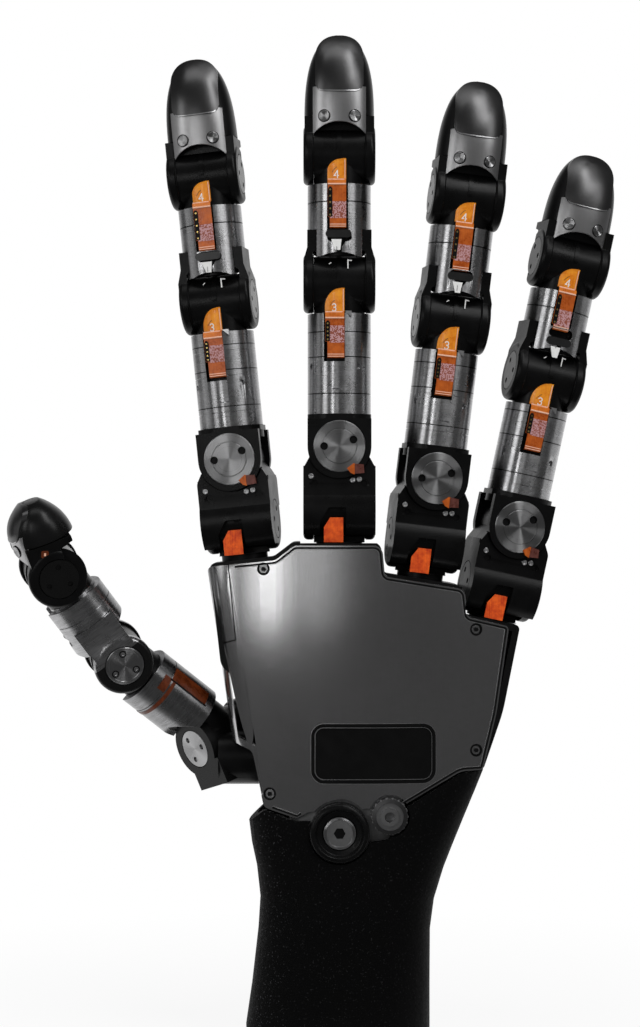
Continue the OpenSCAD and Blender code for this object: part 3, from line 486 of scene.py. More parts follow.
def piece(name, mesh, m, body, mat, replaces=(), angle=35.0):
    """A new piece from (points, faces), with its points in millimetres in the frame m; it rides on a body."""
    verts, faces = mesh
    data = bpy.data.meshes.new(name)
    data.from_pydata([m @ (Vector(v) * MM) for v in verts], [], faces)
    bm = bmesh.new()
    bm.from_mesh(data)
    bmesh.ops.remove_doubles(bm, verts=bm.verts, dist=1e-7)
    bmesh.ops.recalc_face_normals(bm, faces=bm.faces)
    bm.to_mesh(data)
    bm.free()
    shade(data, angle)
    o = bpy.data.objects.new(name, data)
    scene.collection.objects.link(o)
    data.materials.append(material(mat))
    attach(o, body)
    if replaces:
        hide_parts(*replaces)
    return o


def loft(rings, cap=(True, True)):
    """Points and faces of a closed-ring loft."""
    n = len(rings[0])
    verts = [p for r in rings for p in r]
    faces = [[k * n + i, k * n + (i + 1) % n, (k + 1) * n + (i + 1) % n, (k + 1) * n + i]
             for k in range(len(rings) - 1) for i in range(n)]
    if cap[0]:
        faces.append(list(range(n))[::-1])
    if cap[1]:
        faces.append([(len(rings) - 1) * n + i for i in range(n)])
    return verts, faces


def polar(r, a, c=(0, 0)):
    """The point at a radius and an angle in radians round c."""
    return c[0] + r * math.cos(a), c[1] + r * math.sin(a)


def lathe(profile, steps):
    """A profile [(radius, height)] turned about z; one that starts off the axis is a ring."""
    ring = profile[0][0] > 0.01
    profile = list(profile) + ([profile[0]] if ring else [])
    return loft([[(*polar(r, 2 * math.pi * i / steps), h) for i in range(steps)] for r, h in profile],
                (not ring, not ring))


def prism(outline, z0, z1):
    """An outline in x and y, from z0 to z1."""
    return loft([[(x, y, z) for x, y in outline] for z in (z0, z1)])


def plate(outline, y0, y1):
    """An outline in x and z, from y0 to y1."""
    return loft([[(x, y, z) for x, z in outline] for y in (y0, y1)])


def arc_points(c, r, a0, a1, n):
    return [polar(r, math.radians(a0 + (a1 - a0) * i / n), c) for i in range(n + 1)]


def round_box(cx, cy, w, h, r, n=6):
    pts = []
    for sx, sy, a in ((1, 1, 0), (-1, 1, 90), (-1, -1, 180), (1, -1, 270)):
        pts += arc_points((cx + sx * (w / 2 - r), cy + sy * (h / 2 - r)), r, a, a + 90, n)
    return pts


def sheet_faces(rows, cols):
    """Faces of a closed sheet of rows x cols cells, whose inner points follow its outer ones."""
    n, off = cols + 1, (rows + 1) * (cols + 1)
    faces = []
    for k in range(rows):
        for i in range(cols):
            q = [k * n + i, k * n + i + 1, (k + 1) * n + i + 1, (k + 1) * n + i]
            faces += [q, [v + off for v in q[::-1]]]
    rim = (list(range(n)) + [k * n + cols for k in range(1, rows + 1)]
           + [rows * n + i for i in range(cols - 1, -1, -1)] + [k * n for k in range(rows - 1, 0, -1)])
    return faces + [[a, b, b + off, a + off] for a, b in zip(rim, rim[1:] + rim[:1])]


def facing(m, origin, normal):
    """A frame in m whose z is the normal, for pieces that lie on a surface."""
    z = Vector(normal).normalized()
    x = Vector((0, 0, 1)).cross(z).normalized()
    q = Matrix((x, z.cross(x), z)).transposed().to_4x4()
    q.translation = Vector(origin) * MM
    return m @ q


def join(parts):
    """One vertex and face list from several."""
    verts, faces = [], []
    for v, f in parts:
        k = len(verts)
        verts += list(v)
        faces += [[i + k for i in face] for face in f]
    return verts, faces


# ---------- fingertips ----------
TIP_LEN = {"index": 30.85, "middle": 31.05, "ring": 30.45, "little": 28.75, "thumb": 19.55}
TIP_FOOT = 8  # the height where a tip starts to round off
TIP_LOW = 9.6  # the height where the drawn tip starts
TIP_POWER = 2.3  # of a section's superellipse
NAIL_EDGE = 2.6  # the height over which a nail's lower edge is shaped
NAIL_CORNER = 2.0
TIP_SCREW = [(AXIS, -0.3), (1.42, -0.3), (1.42, 0.13), (1.3, 0.2), (1.18, 0.17), (AXIS, 0.0)]
TIP_SEAT_SHADE = [(1.42, -0.25), (1.62, -0.25), (1.64, 0.05), (1.56, 0.09), (1.42, 0.02)]


def tip_section(z, length):
    """Half the width, the back and the front of a tip at a height."""
    s = max(0.0, (z - TIP_FOOT) / (length - TIP_FOOT))
    half = (9.07 if length > 29 else 8.88) * (1 - min(0.99, s) ** 2.75) ** (1 / 2.35)
    return half, -7.7 + 6.2 * s ** 3.4, 8.4 - 5.8 * s ** 2.4


def tip_ring(z, length, shrink=0.0):
    half, back, front = tip_section(z, length)
    half, mid, deep = half - shrink, (back + front) / 2, (front - back) / 2 - shrink
    pts = []
    for i in range(72):
        x, y = (math.copysign(abs(v) ** (2 / TIP_POWER), v) for v in polar(1, 2 * math.pi * i / 72))
        pts.append((half * x, mid + deep * y, z))
    return pts


def back_y(x, z, length):
    """The surface of a tip's back."""
    half, back, front = tip_section(z, length)
    share = max(0.0, 1 - (abs(x) / half) ** TIP_POWER) ** (1 / TIP_POWER)
    return (back + front) / 2 - (front - back) / 2 * share


def tip_plate(f, length, nail):
    """The plate on a tip's back: its lower part with an arched end, or the raised nail with a rounded top."""
    step = max(11.4, 0.5 * length)
    z0, z1, half, lift = (step, length - 0.12, 6.25, 0.42) if nail else (5.0, step + 1.6, 6.85, 0.05)
    rows, cols = 36 if nail else 14, 28
    top = min(7.0, 0.4 * (z1 - z0))
    outer, inner = [], []
    for k in range(rows + 1):
        z = z0 + (z1 - z0) * (1 - (1 - k / rows) ** 1.9 if nail else k / rows)
        t = min(1.0, max(0.0, (z - (z1 - top)) / top))
        w = half * max(0.012, 1 - t ** 2.2) ** 0.42 if nail else half
        for i in range(cols + 1):
            u = 2 * i / cols - 1
            x, zz = w * u, z
            if not nail:
                arch = -1.2 + math.sqrt(81 - x * x)
                zz = arch + (z - z0) / (z1 - z0) * (z1 - arch)
            elif z < z0 + NAIL_EDGE:
                # rounded lower corners and a slightly bowed lower edge
                round_in = max(0.0, abs(x) - half + NAIL_CORNER)
                low = z0 + 0.35 * u * u + max(0.0, NAIL_CORNER - math.sqrt(
                    max(0.0, NAIL_CORNER ** 2 - round_in ** 2)))
                zz = low + (z - z0) * (z0 + NAIL_EDGE - low) / NAIL_EDGE
            under = back_y(x, zz, length)
            face = tip_section(zz, length)[1] + 11.0 - math.sqrt(121 - x * x) if nail else under
            face = min(face, under) - lift
            outer.append((x, face, zz))
            inner.append((x, min(max(face + 0.6, under + 0.25), face + 1.5), zz))
    m, body = LINK[f, "tip"], f + "_tip"
    name = "nail" if nail else "nail_base"
    o = piece(f"{f}_{name}", (outer + inner, sheet_faces(rows, cols)), m, body, name,
              () if nail else [f + "_nail_plate"])
    b = o.modifiers.new("edge", "BEVEL")
    b.limit_method, b.angle_limit = "ANGLE", math.radians(50)
    b.width, b.segments, b.harden_normals = 0.16 * MM, 3, True
    if nail:
        # the bright line along the nail's lower edge: a painted highlight of its bevel
        rings = []
        for a, b in list(zip(outer[:cols + 1], outer[cols + 1:]))[2:-2]:
            a, b = Vector(a), Vector(b)
            u = (b - a).normalized()
            c = a + u * 0.05
            rings.append([c + u * way + Vector((0, y, 0))
                          for way, y in ((0, -0.07), (0.26, -0.05), (0.26, 0.12), (0, 0.25))])
        piece(f + "_nail_rim_highlight", loft(rings), m, body, "edge_light")


for f in CHAINS:
    length, m, body = TIP_LEN[f], LINK[f, "tip"], f + "_tip"
    zs = [TIP_LOW, TIP_LOW + 0.15] + [TIP_LOW + (length - 0.25 - TIP_LOW) * (1 - (1 - t / 20) ** 1.7)
                                      for t in range(1, 21)]
    piece(f + "_soft_tip", loft([tip_ring(z, length, 0.0 if k else 0.35) for k, z in enumerate(zs)]), m, body,
          "rubber", [f + "_tip_pad"])
    tip_plate(f, length, False)
    tip_plate(f, length, True)
    # dished screws; their dark seats are painted shade round the heads
    for k, x in enumerate((-3.95, 3.95)):
        z = 9.3
        normal = ((back_y(x + 0.2, z, length) - back_y(x - 0.2, z, length)) / 0.4, -1,
                  (back_y(x, z + 0.2, length) - back_y(x, z - 0.2, length)) / 0.4)
        q = facing(m, (x, back_y(x, z, length) - 0.08, z), normal)
        name = f"{f}_tip_screw_{k}"
        piece(name, lathe(TIP_SCREW, 48), q, body, turned_metal(name, q))
        piece(f"{f}_tip_seat_{k}", lathe(TIP_SEAT_SHADE, 48), q, body, "plastic")

# ---------- CAD nodes that stay ----------
for f in CHAINS:
    finger, second = f in FINGERS, LINK[f, "second"]
    flecks = 0.55 if finger else 0.1
    # painted shade: the thumb's metal, the same as the fingers', is given lower tones (0.3 and 0.42 against 0.5)
    # for its turn away from the lamps
    frame_mat = "plastic" if finger else sleeve_metal("thumb_frame_metal", LINK[f, "middle"], 0.42, (), False,
                                                      (3.0, second - 7.6), flecks)
    first_mat = sleeve_metal(f + "_first_sleeve", LINK[f, "spread"], 0.5 if finger else 0.3,
                             (13.6, 23.05, 29.5) if finger else (), finger, fleck_share=flecks)
    second_mat = sleeve_metal(f + "_second_sleeve", LINK[f, "middle"], 0.5 if finger else 0.42,
                              (second - 12.7,) if finger else (), fleck_share=flecks)
    for node, mat, width in (("base_yoke", "plastic", 0.35), ("proximal_frame", "plastic", 0.3),
                             ("middle_frame", frame_mat, 0.3), ("tip_core", "plastic", 0.3),
                             ("proximal_sleeve", first_mat, 0.12), ("middle_sleeve", second_mat, 0.12)):
        use_cad(f"{f}_{node}", mat, width)
for node, mat, width in (
        ("thumb_spread_axle", turned_metal("thumb_axle_metal", LINK["thumb", "hub"], axis=1), 0.1),
        ("palm_back_shell", "shell", 0.3), ("palm_front_shell", "plastic_matt", 0.4),
        ("palm_grip_pad", "rubber", 0.5), ("palm_chassis", "frame", 0.2), ("knuckle_housings", "plastic", 0.3),
        ("trunnion_caps", "plastic", 0.1), ("base_ribbons", "film_red", 0.05), ("badge_plate", "badge", 0.15),
        ("shell_screws", "screw", 0.1), ("palm_motors", "motor", 0.1), ("control_board", "board", 0.1),
        ("wrist_sleeve", "wrist", 0), ("wrist_flange", "flange", 0.2), ("wrist_clamp_ring", "ring", 0.1),
        ("wrist_screws", "clamp", 0.1)):
    use_cad(node, mat, width)


# ---------- ribbons ----------
def digit(n):
    """Strokes of a digit, about 1 wide and 1.6 high, as polylines round its middle."""
    if n == 4:
        lines = [[(0.74, 0.0), (0.74, 1.6)], [(0.74, 1.6), (0.0, 0.48), (1.0, 0.48)]]
    else:
        lines = [arc_points((0.45, 1.19), 0.41, 150, -90, 12) + arc_points((0.45, 0.4), 0.43, 90, -150, 12)]
    return [[(x - 0.5, z - 0.8) for x, z in line] for line in lines]


def film_mesh(rows, over, thick):
    """A thin sheet from rows of (left, right, z): over(x, z) gives its outer y, and it is thick deep."""
    cols = 10
    outer = []
    for left, right, z in rows:
        for i in range(cols + 1):
            x = left + (right - left) * i / cols
            outer.append((x, over(x, z), z))
    inner = [(x, y + thick, z) for x, y, z in outer]
    return outer + inner, [face[::-1] for face in sheet_faces(len(rows) - 1, cols)]


def line_mesh(points, width, over):
    """A drawn line of a given width on the surface y = over(x, z)."""
    parts = []
    for a, b in zip(points, points[1:]):
        a, b = Vector(a), Vector(b)
        d = (b - a).normalized()
        s, e = Vector((-d.y, d.x)) * width / 2, d * width / 2
        q = [a - e - s, b + e - s, b + e + s, a - e + s]
        parts.append(loft([[(c.x, over(c.x, c.y) - h, c.y) for c in q] for h in (-0.02, 0.03)]))
    return join(parts)


def on_neck(x, z):
    """The back of a gear knuckle and its neck."""
    return -max(math.sqrt(max(0.0, (KNUCKLE_R + 0.1) ** 2 - z * z)), math.sqrt((CORE_R + 0.12) ** 2 - x * x))


BAND_Y = -7.86  # the outer face of a ribbon in its sleeve's window


def ribbon(f, number, m, body, length, marks):
    """The flexible circuit that leaves a knuckle and lies in its sleeve's window.

    marks has its left and right edge, the top and the end of the shoulder, the two folds, the label's box, the
    left edge of the lower band and its end, all measured from the knuckle's axis."""
    left, right, top, shoulder, fold_a, fold_b, label, low_left, low = marks
    q = m @ shift(z=length)

    def put(name, mesh, mat):
        piece(f"{f}_ribbon_{number}_{name}", mesh, q, body, mat)

    rows = []
    for k in range(25):
        z = top + (fold_a + 0.15 - top) * k / 24
        t = min(1.0, (top - z) / (top - shoulder))
        share = 0.12 + 0.88 * math.sqrt(1 - (1 - t) ** 2)
        rows.append((right - 0.25 - (right - 0.25 - left) * share, right, z))
    put("tongue", film_mesh(rows, on_neck, 0.12), "film_light")
    put("edge", film_mesh([(right - 0.42, right - 0.2, z) for z in (top - 0.3, fold_a + 0.3)],
                          lambda x, z: on_neck(x, z) - 0.03, 0.04), "film_pale")
    mx, mz = (left + right) / 2 - 0.1, (shoulder + fold_a) / 2 + 0.25 if number == 4 else fold_a + 1.25
    for k, line in enumerate(digit(number)):
        put(f"digit_{k}", line_mesh([(mx + 1.1 * a, mz + 1.15 * b) for a, b in line], 0.24, on_neck), "ink")
    put("trace", line_mesh([(mx - 1.1 + 0.13 * k, mz + 0.55 + 1.3 * math.sin(0.14 * k)) for k in range(10)],
                           0.12, on_neck), "film_dark")

    # the fold over the sleeve's edge: two ridges, pale as a painted highlight of the bends, with a dark band
    # between
    def fold(z):
        t = min(1.0, max(0.0, (fold_a + 0.2 - z) / 0.5))
        return -6.95 * (1 - t) + (BAND_Y - 0.12) * t

    zs = [fold_a + 0.25 - 0.11 * k for k in range(int((fold_a - fold_b + 0.6) / 0.11))]
    put("fold", film_mesh([(left + 0.05, right - 0.05, z) for z in zs], lambda x, z: fold(z), 0.2), "film")
    for k, (z, trim) in enumerate(((fold_a, 0.5), (fold_b, 0.05))):
        put(f"ridge_{k}", film_mesh(
            [(left + 0.1, right - trim, z + 0.2 * math.cos(math.pi * i / 6)) for i in range(7)],
            lambda x, z_: fold(z) - 0.14 * math.sqrt(max(0.0, 1 - ((z_ - z) / 0.201) ** 2)), 0.1), "film_pale")
    # the band in the window, narrower below the connector
    mid = label[3] + 0.3
    put("band", film_mesh([(a, right, z) for a, z in (
        (left + 0.1, fold_b - 0.15), (left + 0.1, mid), (low_left, mid - 0.01), (low_left, low + 0.5),
        (low_left, low))], lambda x, z: BAND_Y + (0.5 if z < low + 0.1 else 0.0), 0.25), "film_deep")
    # painted highlights: two pale lines across the lower band where the film is folded
    for k, z in enumerate((low + 0.95, low + 0.4)):
        put(f"stripe_{k}", film_mesh([(low_left + 0.05, right - 0.05, z + a) for a in (0.1, -0.1)],
                                     lambda x, z_: BAND_Y - 0.05, 0.05), "film_pale")
    put("print", film_mesh([(*label[:2], z) for z in label[2:]], lambda x, z: BAND_Y - 0.03, 0.03), "print")
    # small connector with gold pads beside the band
    cx, cz0, cz1 = left + 0.78, mid + 0.1, fold_b - 0.7
    outline = [(cx - 0.62, cz0), (cx + 0.5, cz0), (cx + 0.5, cz1 - 0.5), (cx + 0.15, cz1), (cx - 0.3, cz1),
               (cx - 0.62, cz1 - 0.6)]
    put("plug", plate(outline, BAND_Y + 0.05, BAND_Y - 0.1), "plastic_matt")
    pads = [plate(arc_points((cx - 0.06, cz0 + 0.45 + (cz1 - cz0 - 1.2) * k / 4), 0.23, 0, 330, 11),
                  BAND_Y - 0.08, BAND_Y - 0.14) for k in range(5)]
    put("pads", join(pads), "gold")


# left, right, top, shoulder, fold a, fold b, label (left, right, top, bottom), lower left, low
FIRST_MARKS = (-3.74, 1.3, -1.64, -6.5, -7.9, -9.4, (-2.52, 1.35, -11.4, -15.8), -3.1, -19.7)
SECOND_MARKS = (-3.1, 1.73, -1.6, -4.7, -7.1, -8.3, (-2.4, 1.72, -12.8, -17.1), -2.5, -19.6)
LITTLE_SECOND_MARKS = SECOND_MARKS[:8] + (-18.2,)
for f in FINGERS:
    ribbon(f, 3, LINK[f, "spread"], f + "_proximal", LINK[f, "first"], FIRST_MARKS)
    ribbon(f, 4, LINK[f, "middle"], f + "_middle", LINK[f, "second"],
           LITTLE_SECOND_MARKS if f == "little" else SECOND_MARKS)


# ---------- seals that close the slits beside the knuckles ----------
SEAL = [(2.75, -0.13), (7.45, -0.13), (7.55, 0.0), (7.45, 0.13), (2.75, 0.13)]
for f in CHAINS:
    for link in ("base", "middle", "tip"):
        if (f, link) == ("thumb", "base"):
            continue
        for k, x in enumerate((-6.76, 6.76)):
            piece(f"{f}_{link}_seal_{k}", lathe(SEAL, 72), LINK[f, link] @ shift(x) @ quarter_turn("Y"),
                  f"{f}_{link}", "plastic_matt")


# ---------- discs of the spread joints ----------
DISC_FACE = 8.8
DISC_HOLES = {"index": (28, 179), "middle": (25, 180), "ring": (26, 186), "little": (40, 172)}
DISC = [(AXIS, -8.6), (5.0, -8.6), (5.0, -7.8), (2.5, -7.8), (2.5, 7.6), (6.65, 7.6), (6.65, DISC_FACE - 0.12),
        (6.52, DISC_FACE), (4.66, DISC_FACE), (4.6, DISC_FACE - 0.12), (4.46, DISC_FACE - 0.12),
        (4.42, DISC_FACE - 0.02), (4.3, DISC_FACE + 0.1), (AXIS, DISC_FACE + 0.1)]
HOLE_SHADE = [(r, DISC_FACE - h) for r, h in ((AXIS, 0.7), (0.99, 0.7), (0.99, 0.6), (AXIS, 0.6))]


def cut_out(o, mesh, m):
    """Cuts a shape out of a piece."""
    data = bpy.data.meshes.new("cutter")
    verts, faces = mesh
    data.from_pydata([m @ (Vector(v) * MM) for v in verts], [], faces)
    cutter = bpy.data.objects.new("cutter", data)
    scene.collection.objects.link(cutter)
    cut = o.modifiers.new("holes", "BOOLEAN")
    cut.object, cut.operation, cut.solver = cutter, "DIFFERENCE", "EXACT"
    bpy.context.view_layer.update()
    new = bpy.data.meshes.new_from_object(o.evaluated_get(bpy.context.evaluated_depsgraph_get()))
    o.modifiers.clear()
    o.data = new
    bpy.data.objects.remove(cutter)


# a turned disc with a raised middle and two spanner holes
for f in FINGERS:
    # z of this frame points out of the back of the hand
    q = LINK[f, "spread"] @ quarter_turn("X")
    o = piece(f + "_disc", lathe(DISC, 96), q, f + "_base", turned_metal(f + "_disc_metal", q),
              [f + "_spread_axle"], 25)
    holes = []
    for a in DISC_HOLES[f]:
        c = polar(3.95, math.radians(a))
        holes.append(prism(arc_points(c, 1.02, 0, 354, 59), DISC_FACE - 0.75, DISC_FACE + 0.4))
        # painted shade: a dark disc at the floor of each spanner hole
        piece(f"{f}_disc_hole_shade_{a}", lathe(HOLE_SHADE, 40), q @ shift(*c), f + "_base", "plastic_matt")
    cut_out(o, join(holes), q)
    shade(o.data, 25)
    even_normals(o)


# ---------- small forms on the yokes and sleeves, some of them painted highlights ---
def touch(node, m, x, z):
    """The y of the outer surface of a CAD node at x and z of the frame m."""
    start, way = m @ (Vector((x, -30, z)) * MM), m.to_3x3() @ Vector((0, 1, 0))
    hit, at, _, _ = frame["nodes"][node].ray_cast(start, way)
    return (m.inverted() @ at).y / MM if hit else 0.0


YOKE_SCREW = [(AXIS, -0.2), (0.66, -0.2), (0.66, 0.12), (0.56, 0.18), (AXIS, 0.08)]
for f in FINGERS:
    base, body = LINK[f, "base"], f + "_base"
    up = (LINK[f, "spread"].translation - base.translation).length / MM
    for k, (x, z) in enumerate(((-7.3, 8.7), (3.4, 7.7), (5.1, 7.9))):
        q = facing(base, (x, touch(f + "_base_yoke", base, x, z), z), (0, -1, 0))
        name = f"{f}_yoke_screw_{k}"
        piece(name, lathe(YOKE_SCREW, 32), q, body, turned_metal(name, q, 0.7))
    # the ribbon's lap beside the disc
    lap = [(1.9, up - 5.7), (3.6, up - 4.4), (3.9, up - 4.4), (3.9, up - 7.3), (2.9, up - 6.9)]
    wide = [(3.9, up - 4.5), (6.2, up - 4.7), (6.4, up - 6.9), (3.9, up - 7.1)]
    piece(f + "_lap", plate(lap, -7.75, -9.1), base, body, "film_deep")
    piece(f + "_lap_fold", plate(wide, -7.75, -8.95), base, body, "film_dusk")
for f in FINGERS:
    middle, body = LINK[f, "middle"], f + "_middle"
    z = LINK[f, "second"] - 33.3
    eye = arc_points((-2.6, z + 12.2), 1.0, 90, 270, 10) + arc_points((2.1, z + 12.2), 1.0, -90, 90, 10)
    notch = [(-2.1, z + 10.75), (-1.1, z + 8.0), (0.2, z + 8.0), (0.55, z + 10.75)]
    piece(f + "_eye", plate(eye, -7.75, -8.22), middle, body, "eye")
    piece(f + "_notch", plate(notch, -7.7, -8.16), middle, body, "ink")
    q, body = LINK[f, "spread"] @ shift(z=LINK[f, "first"]), f + "_proximal"
    # painted highlight: a small triangle of bright metal on the sleeve's upper edge
    piece(f + "_facet", plate([(1.35, -7.6), (3.1, -7.6), (3.1, -9.2)], -7.2, -8.05), q, body, "edge_light")
    # painted highlights: small white marks in the print colour that stand for light on the metal pins above the
    # knuckle
    pin_glints = (([(2.2, 3.5), (2.2, 5.6)], 0.3), ([(2.5, 5.5), (3.1, 5.5)], 0.25),
             ([(-2.6, 4.6), (-2.2, 4.9)], 0.22))
    piece(f + "_pin_glint", join([line_mesh(line, width, on_neck) for line, width in pin_glints]), q, body, "ink")


# ---------- thumb ----------
def wrap(r0, r1, z0, z1, a0, a1):
    """A sector of a thin sleeve."""
    n = max(4, int(abs(a1 - a0) / 5))
    return loft([[(*polar(r, math.radians(a0 + (a1 - a0) * i / n)), z)
                  for r, z in ((r0, z0), (r1, z0), (r1, z1), (r0, z1))] for i in range(n + 1)])


for name, r1, z0, z1, a0, a1, mat, slot in (
        ("band", 8.3, 21.9, 22.9, -95, 34, "film_brown", "ribbon_film"),
        ("long", 8.28, 12.0, 23.4, 34, 62, "film_brown", "ribbon_film"),
        ("edge", 8.34, 11.6, 23.8, 31.5, 34, "plastic", "black_polymer"),
        ("fold", 8.32, 23.4, 25.6, 4, 34, "film_brown", "ribbon_film")):
    piece("thumb_ribbon_" + name, wrap(8.0, r1, z0, z1, a0, a1), LINK["thumb", "spread"], "thumb_proximal",
          mat)
# the small window with the ribbon's end on the side of the thumb's tip
bpy.context.view_layer.update()
found = []
for o in (bpy.data.objects["thumb_soft_tip"], frame["nodes"]["thumb_tip_core"]):
    hit, at, normal, _ = o.ray_cast(Vector((-0.0741, -0.05, 0.1271)), Vector((0, 1, 0)))
    if hit:
        found.append((at.y, at, normal))
if found:
    _, at, normal = min(found, key=lambda h: h[0])
    q = facing(WORLD, at / MM, normal)
    for name, w, h, y0, y1, mat, slot in (("frame", 2.9, 2.5, -0.3, 0.12, "plastic_matt", "black_polymer"),
                                          ("film", 1.9, 1.9, -0.1, 0.17, "film_brown", "ribbon_film"),
                                          ("dot", 0.5, 0.8, 0.0, 0.21, "film_pale", "ribbon_film")):
        piece("thumb_window_" + name, prism(round_box(0, 0, w, h, min(w, h) / 4), y0, y1), q, "thumb_tip",
              mat)
# the turned cover of the thumb's middle joint, with three screws
COVER = [(AXIS, -0.05), (4.9, -0.05), (4.9, 0.02), (4.75, 0.12), (4.2, 0.14), (4.05, 0.06), (1.0, 0.13),
         (AXIS, 0.13)]
COVER_SEAT_SHADE = [(AXIS, -0.1), (0.95, -0.1), (0.95, 0.03), (0.85, 0.06), (AXIS, 0.05)]
COVER_SCREW = [(AXIS, 0.0), (0.62, 0.0), (0.62, 0.1), (0.52, 0.14), (0.3, 0.13), (0.22, 0.06), (AXIS, 0.06)]
q = LINK["thumb", "middle"] @ shift(9.3) @ quarter_turn("Y")
piece("thumb_cover", lathe(COVER, 96), q, "thumb_proximal", turned_metal("thumb_cover_metal", q),
      angle=20)
for k, a in enumerate((35, 155, 275)):
    c = q @ shift(*polar(3.15, math.radians(a)), 0.1)
    # painted shade: a dark seat round each screw
    piece(f"thumb_cover_seat_{k}", lathe(COVER_SEAT_SHADE, 40), c, "thumb_proximal", "plastic")
    piece(f"thumb_cover_screw_{k}", lathe(COVER_SCREW, 40), c, "thumb_proximal", "screw")


# ---------- palm: a dark edge seam with a painted highlight line, badge rim with painted highlight lines, screw seats and sockets in painted shade, knobs ---
def palm_y(x):
    """The back of the metal shell."""
    return ARCH_R - PALM_BACK - math.sqrt(ARCH_R ** 2 - (x - PALM_X) ** 2)


def rounded(corners):
    """Points of an outline whose corners (x, z, radius) are rounded."""
    pts = []
    for k, (x, z, r) in enumerate(corners):
        p, a, b = Vector((x, z)), Vector(corners[k - 1][:2]), Vector(corners[(k + 1) % len(corners)][:2])
        u, v = (a - p).normalized(), (b - p).normalized()
        half = u.angle(v) / 2
        if r < 0.05 or math.degrees(half) > 89:
            pts.append(p)
            continue
        r = min(r, 0.45 * min((a - p).length, (b - p).length) * math.tan(half))
        c = p + (u + v).normalized() * r / math.sin(half)
        s, e = p + u * r / math.tan(half) - c, p + v * r / math.tan(half) - c
        turn = s.angle_signed(e)
        pts += [c + Matrix.Rotation(-turn * i / 8, 2) @ s for i in range(9)]
    return pts


def dense(points, closed):
    """A run of points not much more than 1.5 mm apart."""
    pts = [Vector(p) for p in points]
    out = []
    for a, b in zip(pts, pts[1:] + ([pts[0]] if closed else [])):
        n = max(1, int((b - a).length / 1.5))
        out += [a.lerp(b, i / n) for i in range(n)]
    return out + ([] if closed else [pts[-1]])


def strip(points, width, lift, closed=False):
    """A flat line of a given width along points (x, z), a little proud of the shell's back."""
    pts = dense(points, closed)
    n, rings = len(pts), []
    for i, p in enumerate(pts):
        a = pts[i - 1] if i or closed else p
        b = pts[(i + 1) % n] if i < n - 1 or closed else p
        d = (b - a).normalized()
        s = Vector((-d.y, d.x)) * width / 2
        rings.append([(c.x, palm_y(c.x) + h, c.y)
                      for c, h in ((p - s, 0.08), (p + s, 0.08), (p + s, -lift), (p - s, -lift))])
    if closed:
        rings.append(rings[0])
    return loft(rings, (not closed, not closed))


def inset(points, d):
    """A clockwise run of points moved inwards."""
    out = []
    for i, p in enumerate(points):
        t = (points[min(i + 1, len(points) - 1)] - points[max(i - 1, 0)]).normalized()
        out.append(p + Vector((t.y, -t.x)) * d)
    return out


PALM = [(-16.5, 125.4, 3), (-11.6, 129.2, 2.4), (10.9, 129.2, 2.4), (11.6, 121.3, 1.4), (32.2, 117.9, 2.4),
        (33, 110.8, 1.4), (43.9, 108.2, 1.2), (40.6, 86, 12), (37, 71.4, 1), (31.2, 71.2, 6), (16.9, 63, 1.5)]
EDGES = {"": [Vector((-27, 124.3))] + rounded([(-27, 124.3, 0)] + PALM + [(14, 60, 0)])[1:-1],
         "low_": [Vector((-9.6, 60.1)), Vector((-11, 59.4)), Vector((-17.4, 61.5))]}
# the groove is a dark seam line; the bright bevel line is a painted highlight along the shell's rounded edge
for name, off, width, lift, mat, slot in (("groove", 0.62, 0.5, 0.03, "plastic_matt", "black_polymer"),
                                          ("bevel_highlight", 0.98, 0.16, 0.06, "edge_light", "shell_metal")):
    for part, points in EDGES.items():
        piece(f"palm_{part}{name}", strip(inset(points, off), width, lift), WORLD, "palm", mat)
low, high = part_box("badge_plate")
mid, w, h = (low + high) / 2 / MM, (high.x - low.x) / MM, (high.z - low.z) / MM
# the outer line and the inner line in bright metal are painted highlights of the badge frame's bevels
for name, grow, width, lift, mat, slot in (("line", 1.5, 0.2, 0.07, "edge_light", "shell_metal"),
                                           ("frame", 0.7, 0.75, 0.12, "badge", "badge_gloss"),
                                           ("inner", -0.55, 0.14, -0.28, "edge_light", "shell_metal")):
    loop = round_box(mid.x, mid.z, w + grow, h + grow, 2.6 + grow / 2, 10)
    piece("badge_" + name, strip(loop, width, lift, True), WORLD, "palm", mat)
# the knurled rim of the adjusting knob
q = facing(WORLD, (12.8, -13.2, 60.1), (0, -1, 0))
TEETH, KNOB_R, KNOB_HOLE_R, TOOTH = 40, 4.62, 3.5, 0.955
rim = [polar(KNOB_R * (1 if i % 2 else TOOTH), math.pi * i / TEETH) for i in range(2 * TEETH)]
hole = [polar(KNOB_HOLE_R, math.pi * i / TEETH) for i in range(2 * TEETH)]
rings = [[(*p, h) for p in ring]
         for ring, h in ((hole, -0.3), (rim, -0.3), (rim, 0.12), (hole, 0.3), (hole, -0.3))]
piece("wrist_knob_rim", loft(rings, (False, False)), q, "palm", "knob", angle=20)
# the clamp screw
q = facing(WORLD, (0.0, -14.3, 56.0), (0, -1, 0))
# painted shade: a dark hexagon over the screw's socket
piece("wrist_clamp_socket_shade", lathe([(AXIS, -0.2), (1.5, -0.2), (1.5, 0.03), (AXIS, 0.02)], 6), q, "palm", "plastic")
piece("wrist_clamp_rim", lathe([(3.3, -0.1), (3.98, -0.1), (3.98, 0.02), (3.8, 0.1), (3.4, 0.1)], 72), q,
      "palm", turned_metal("clamp_turned", q))
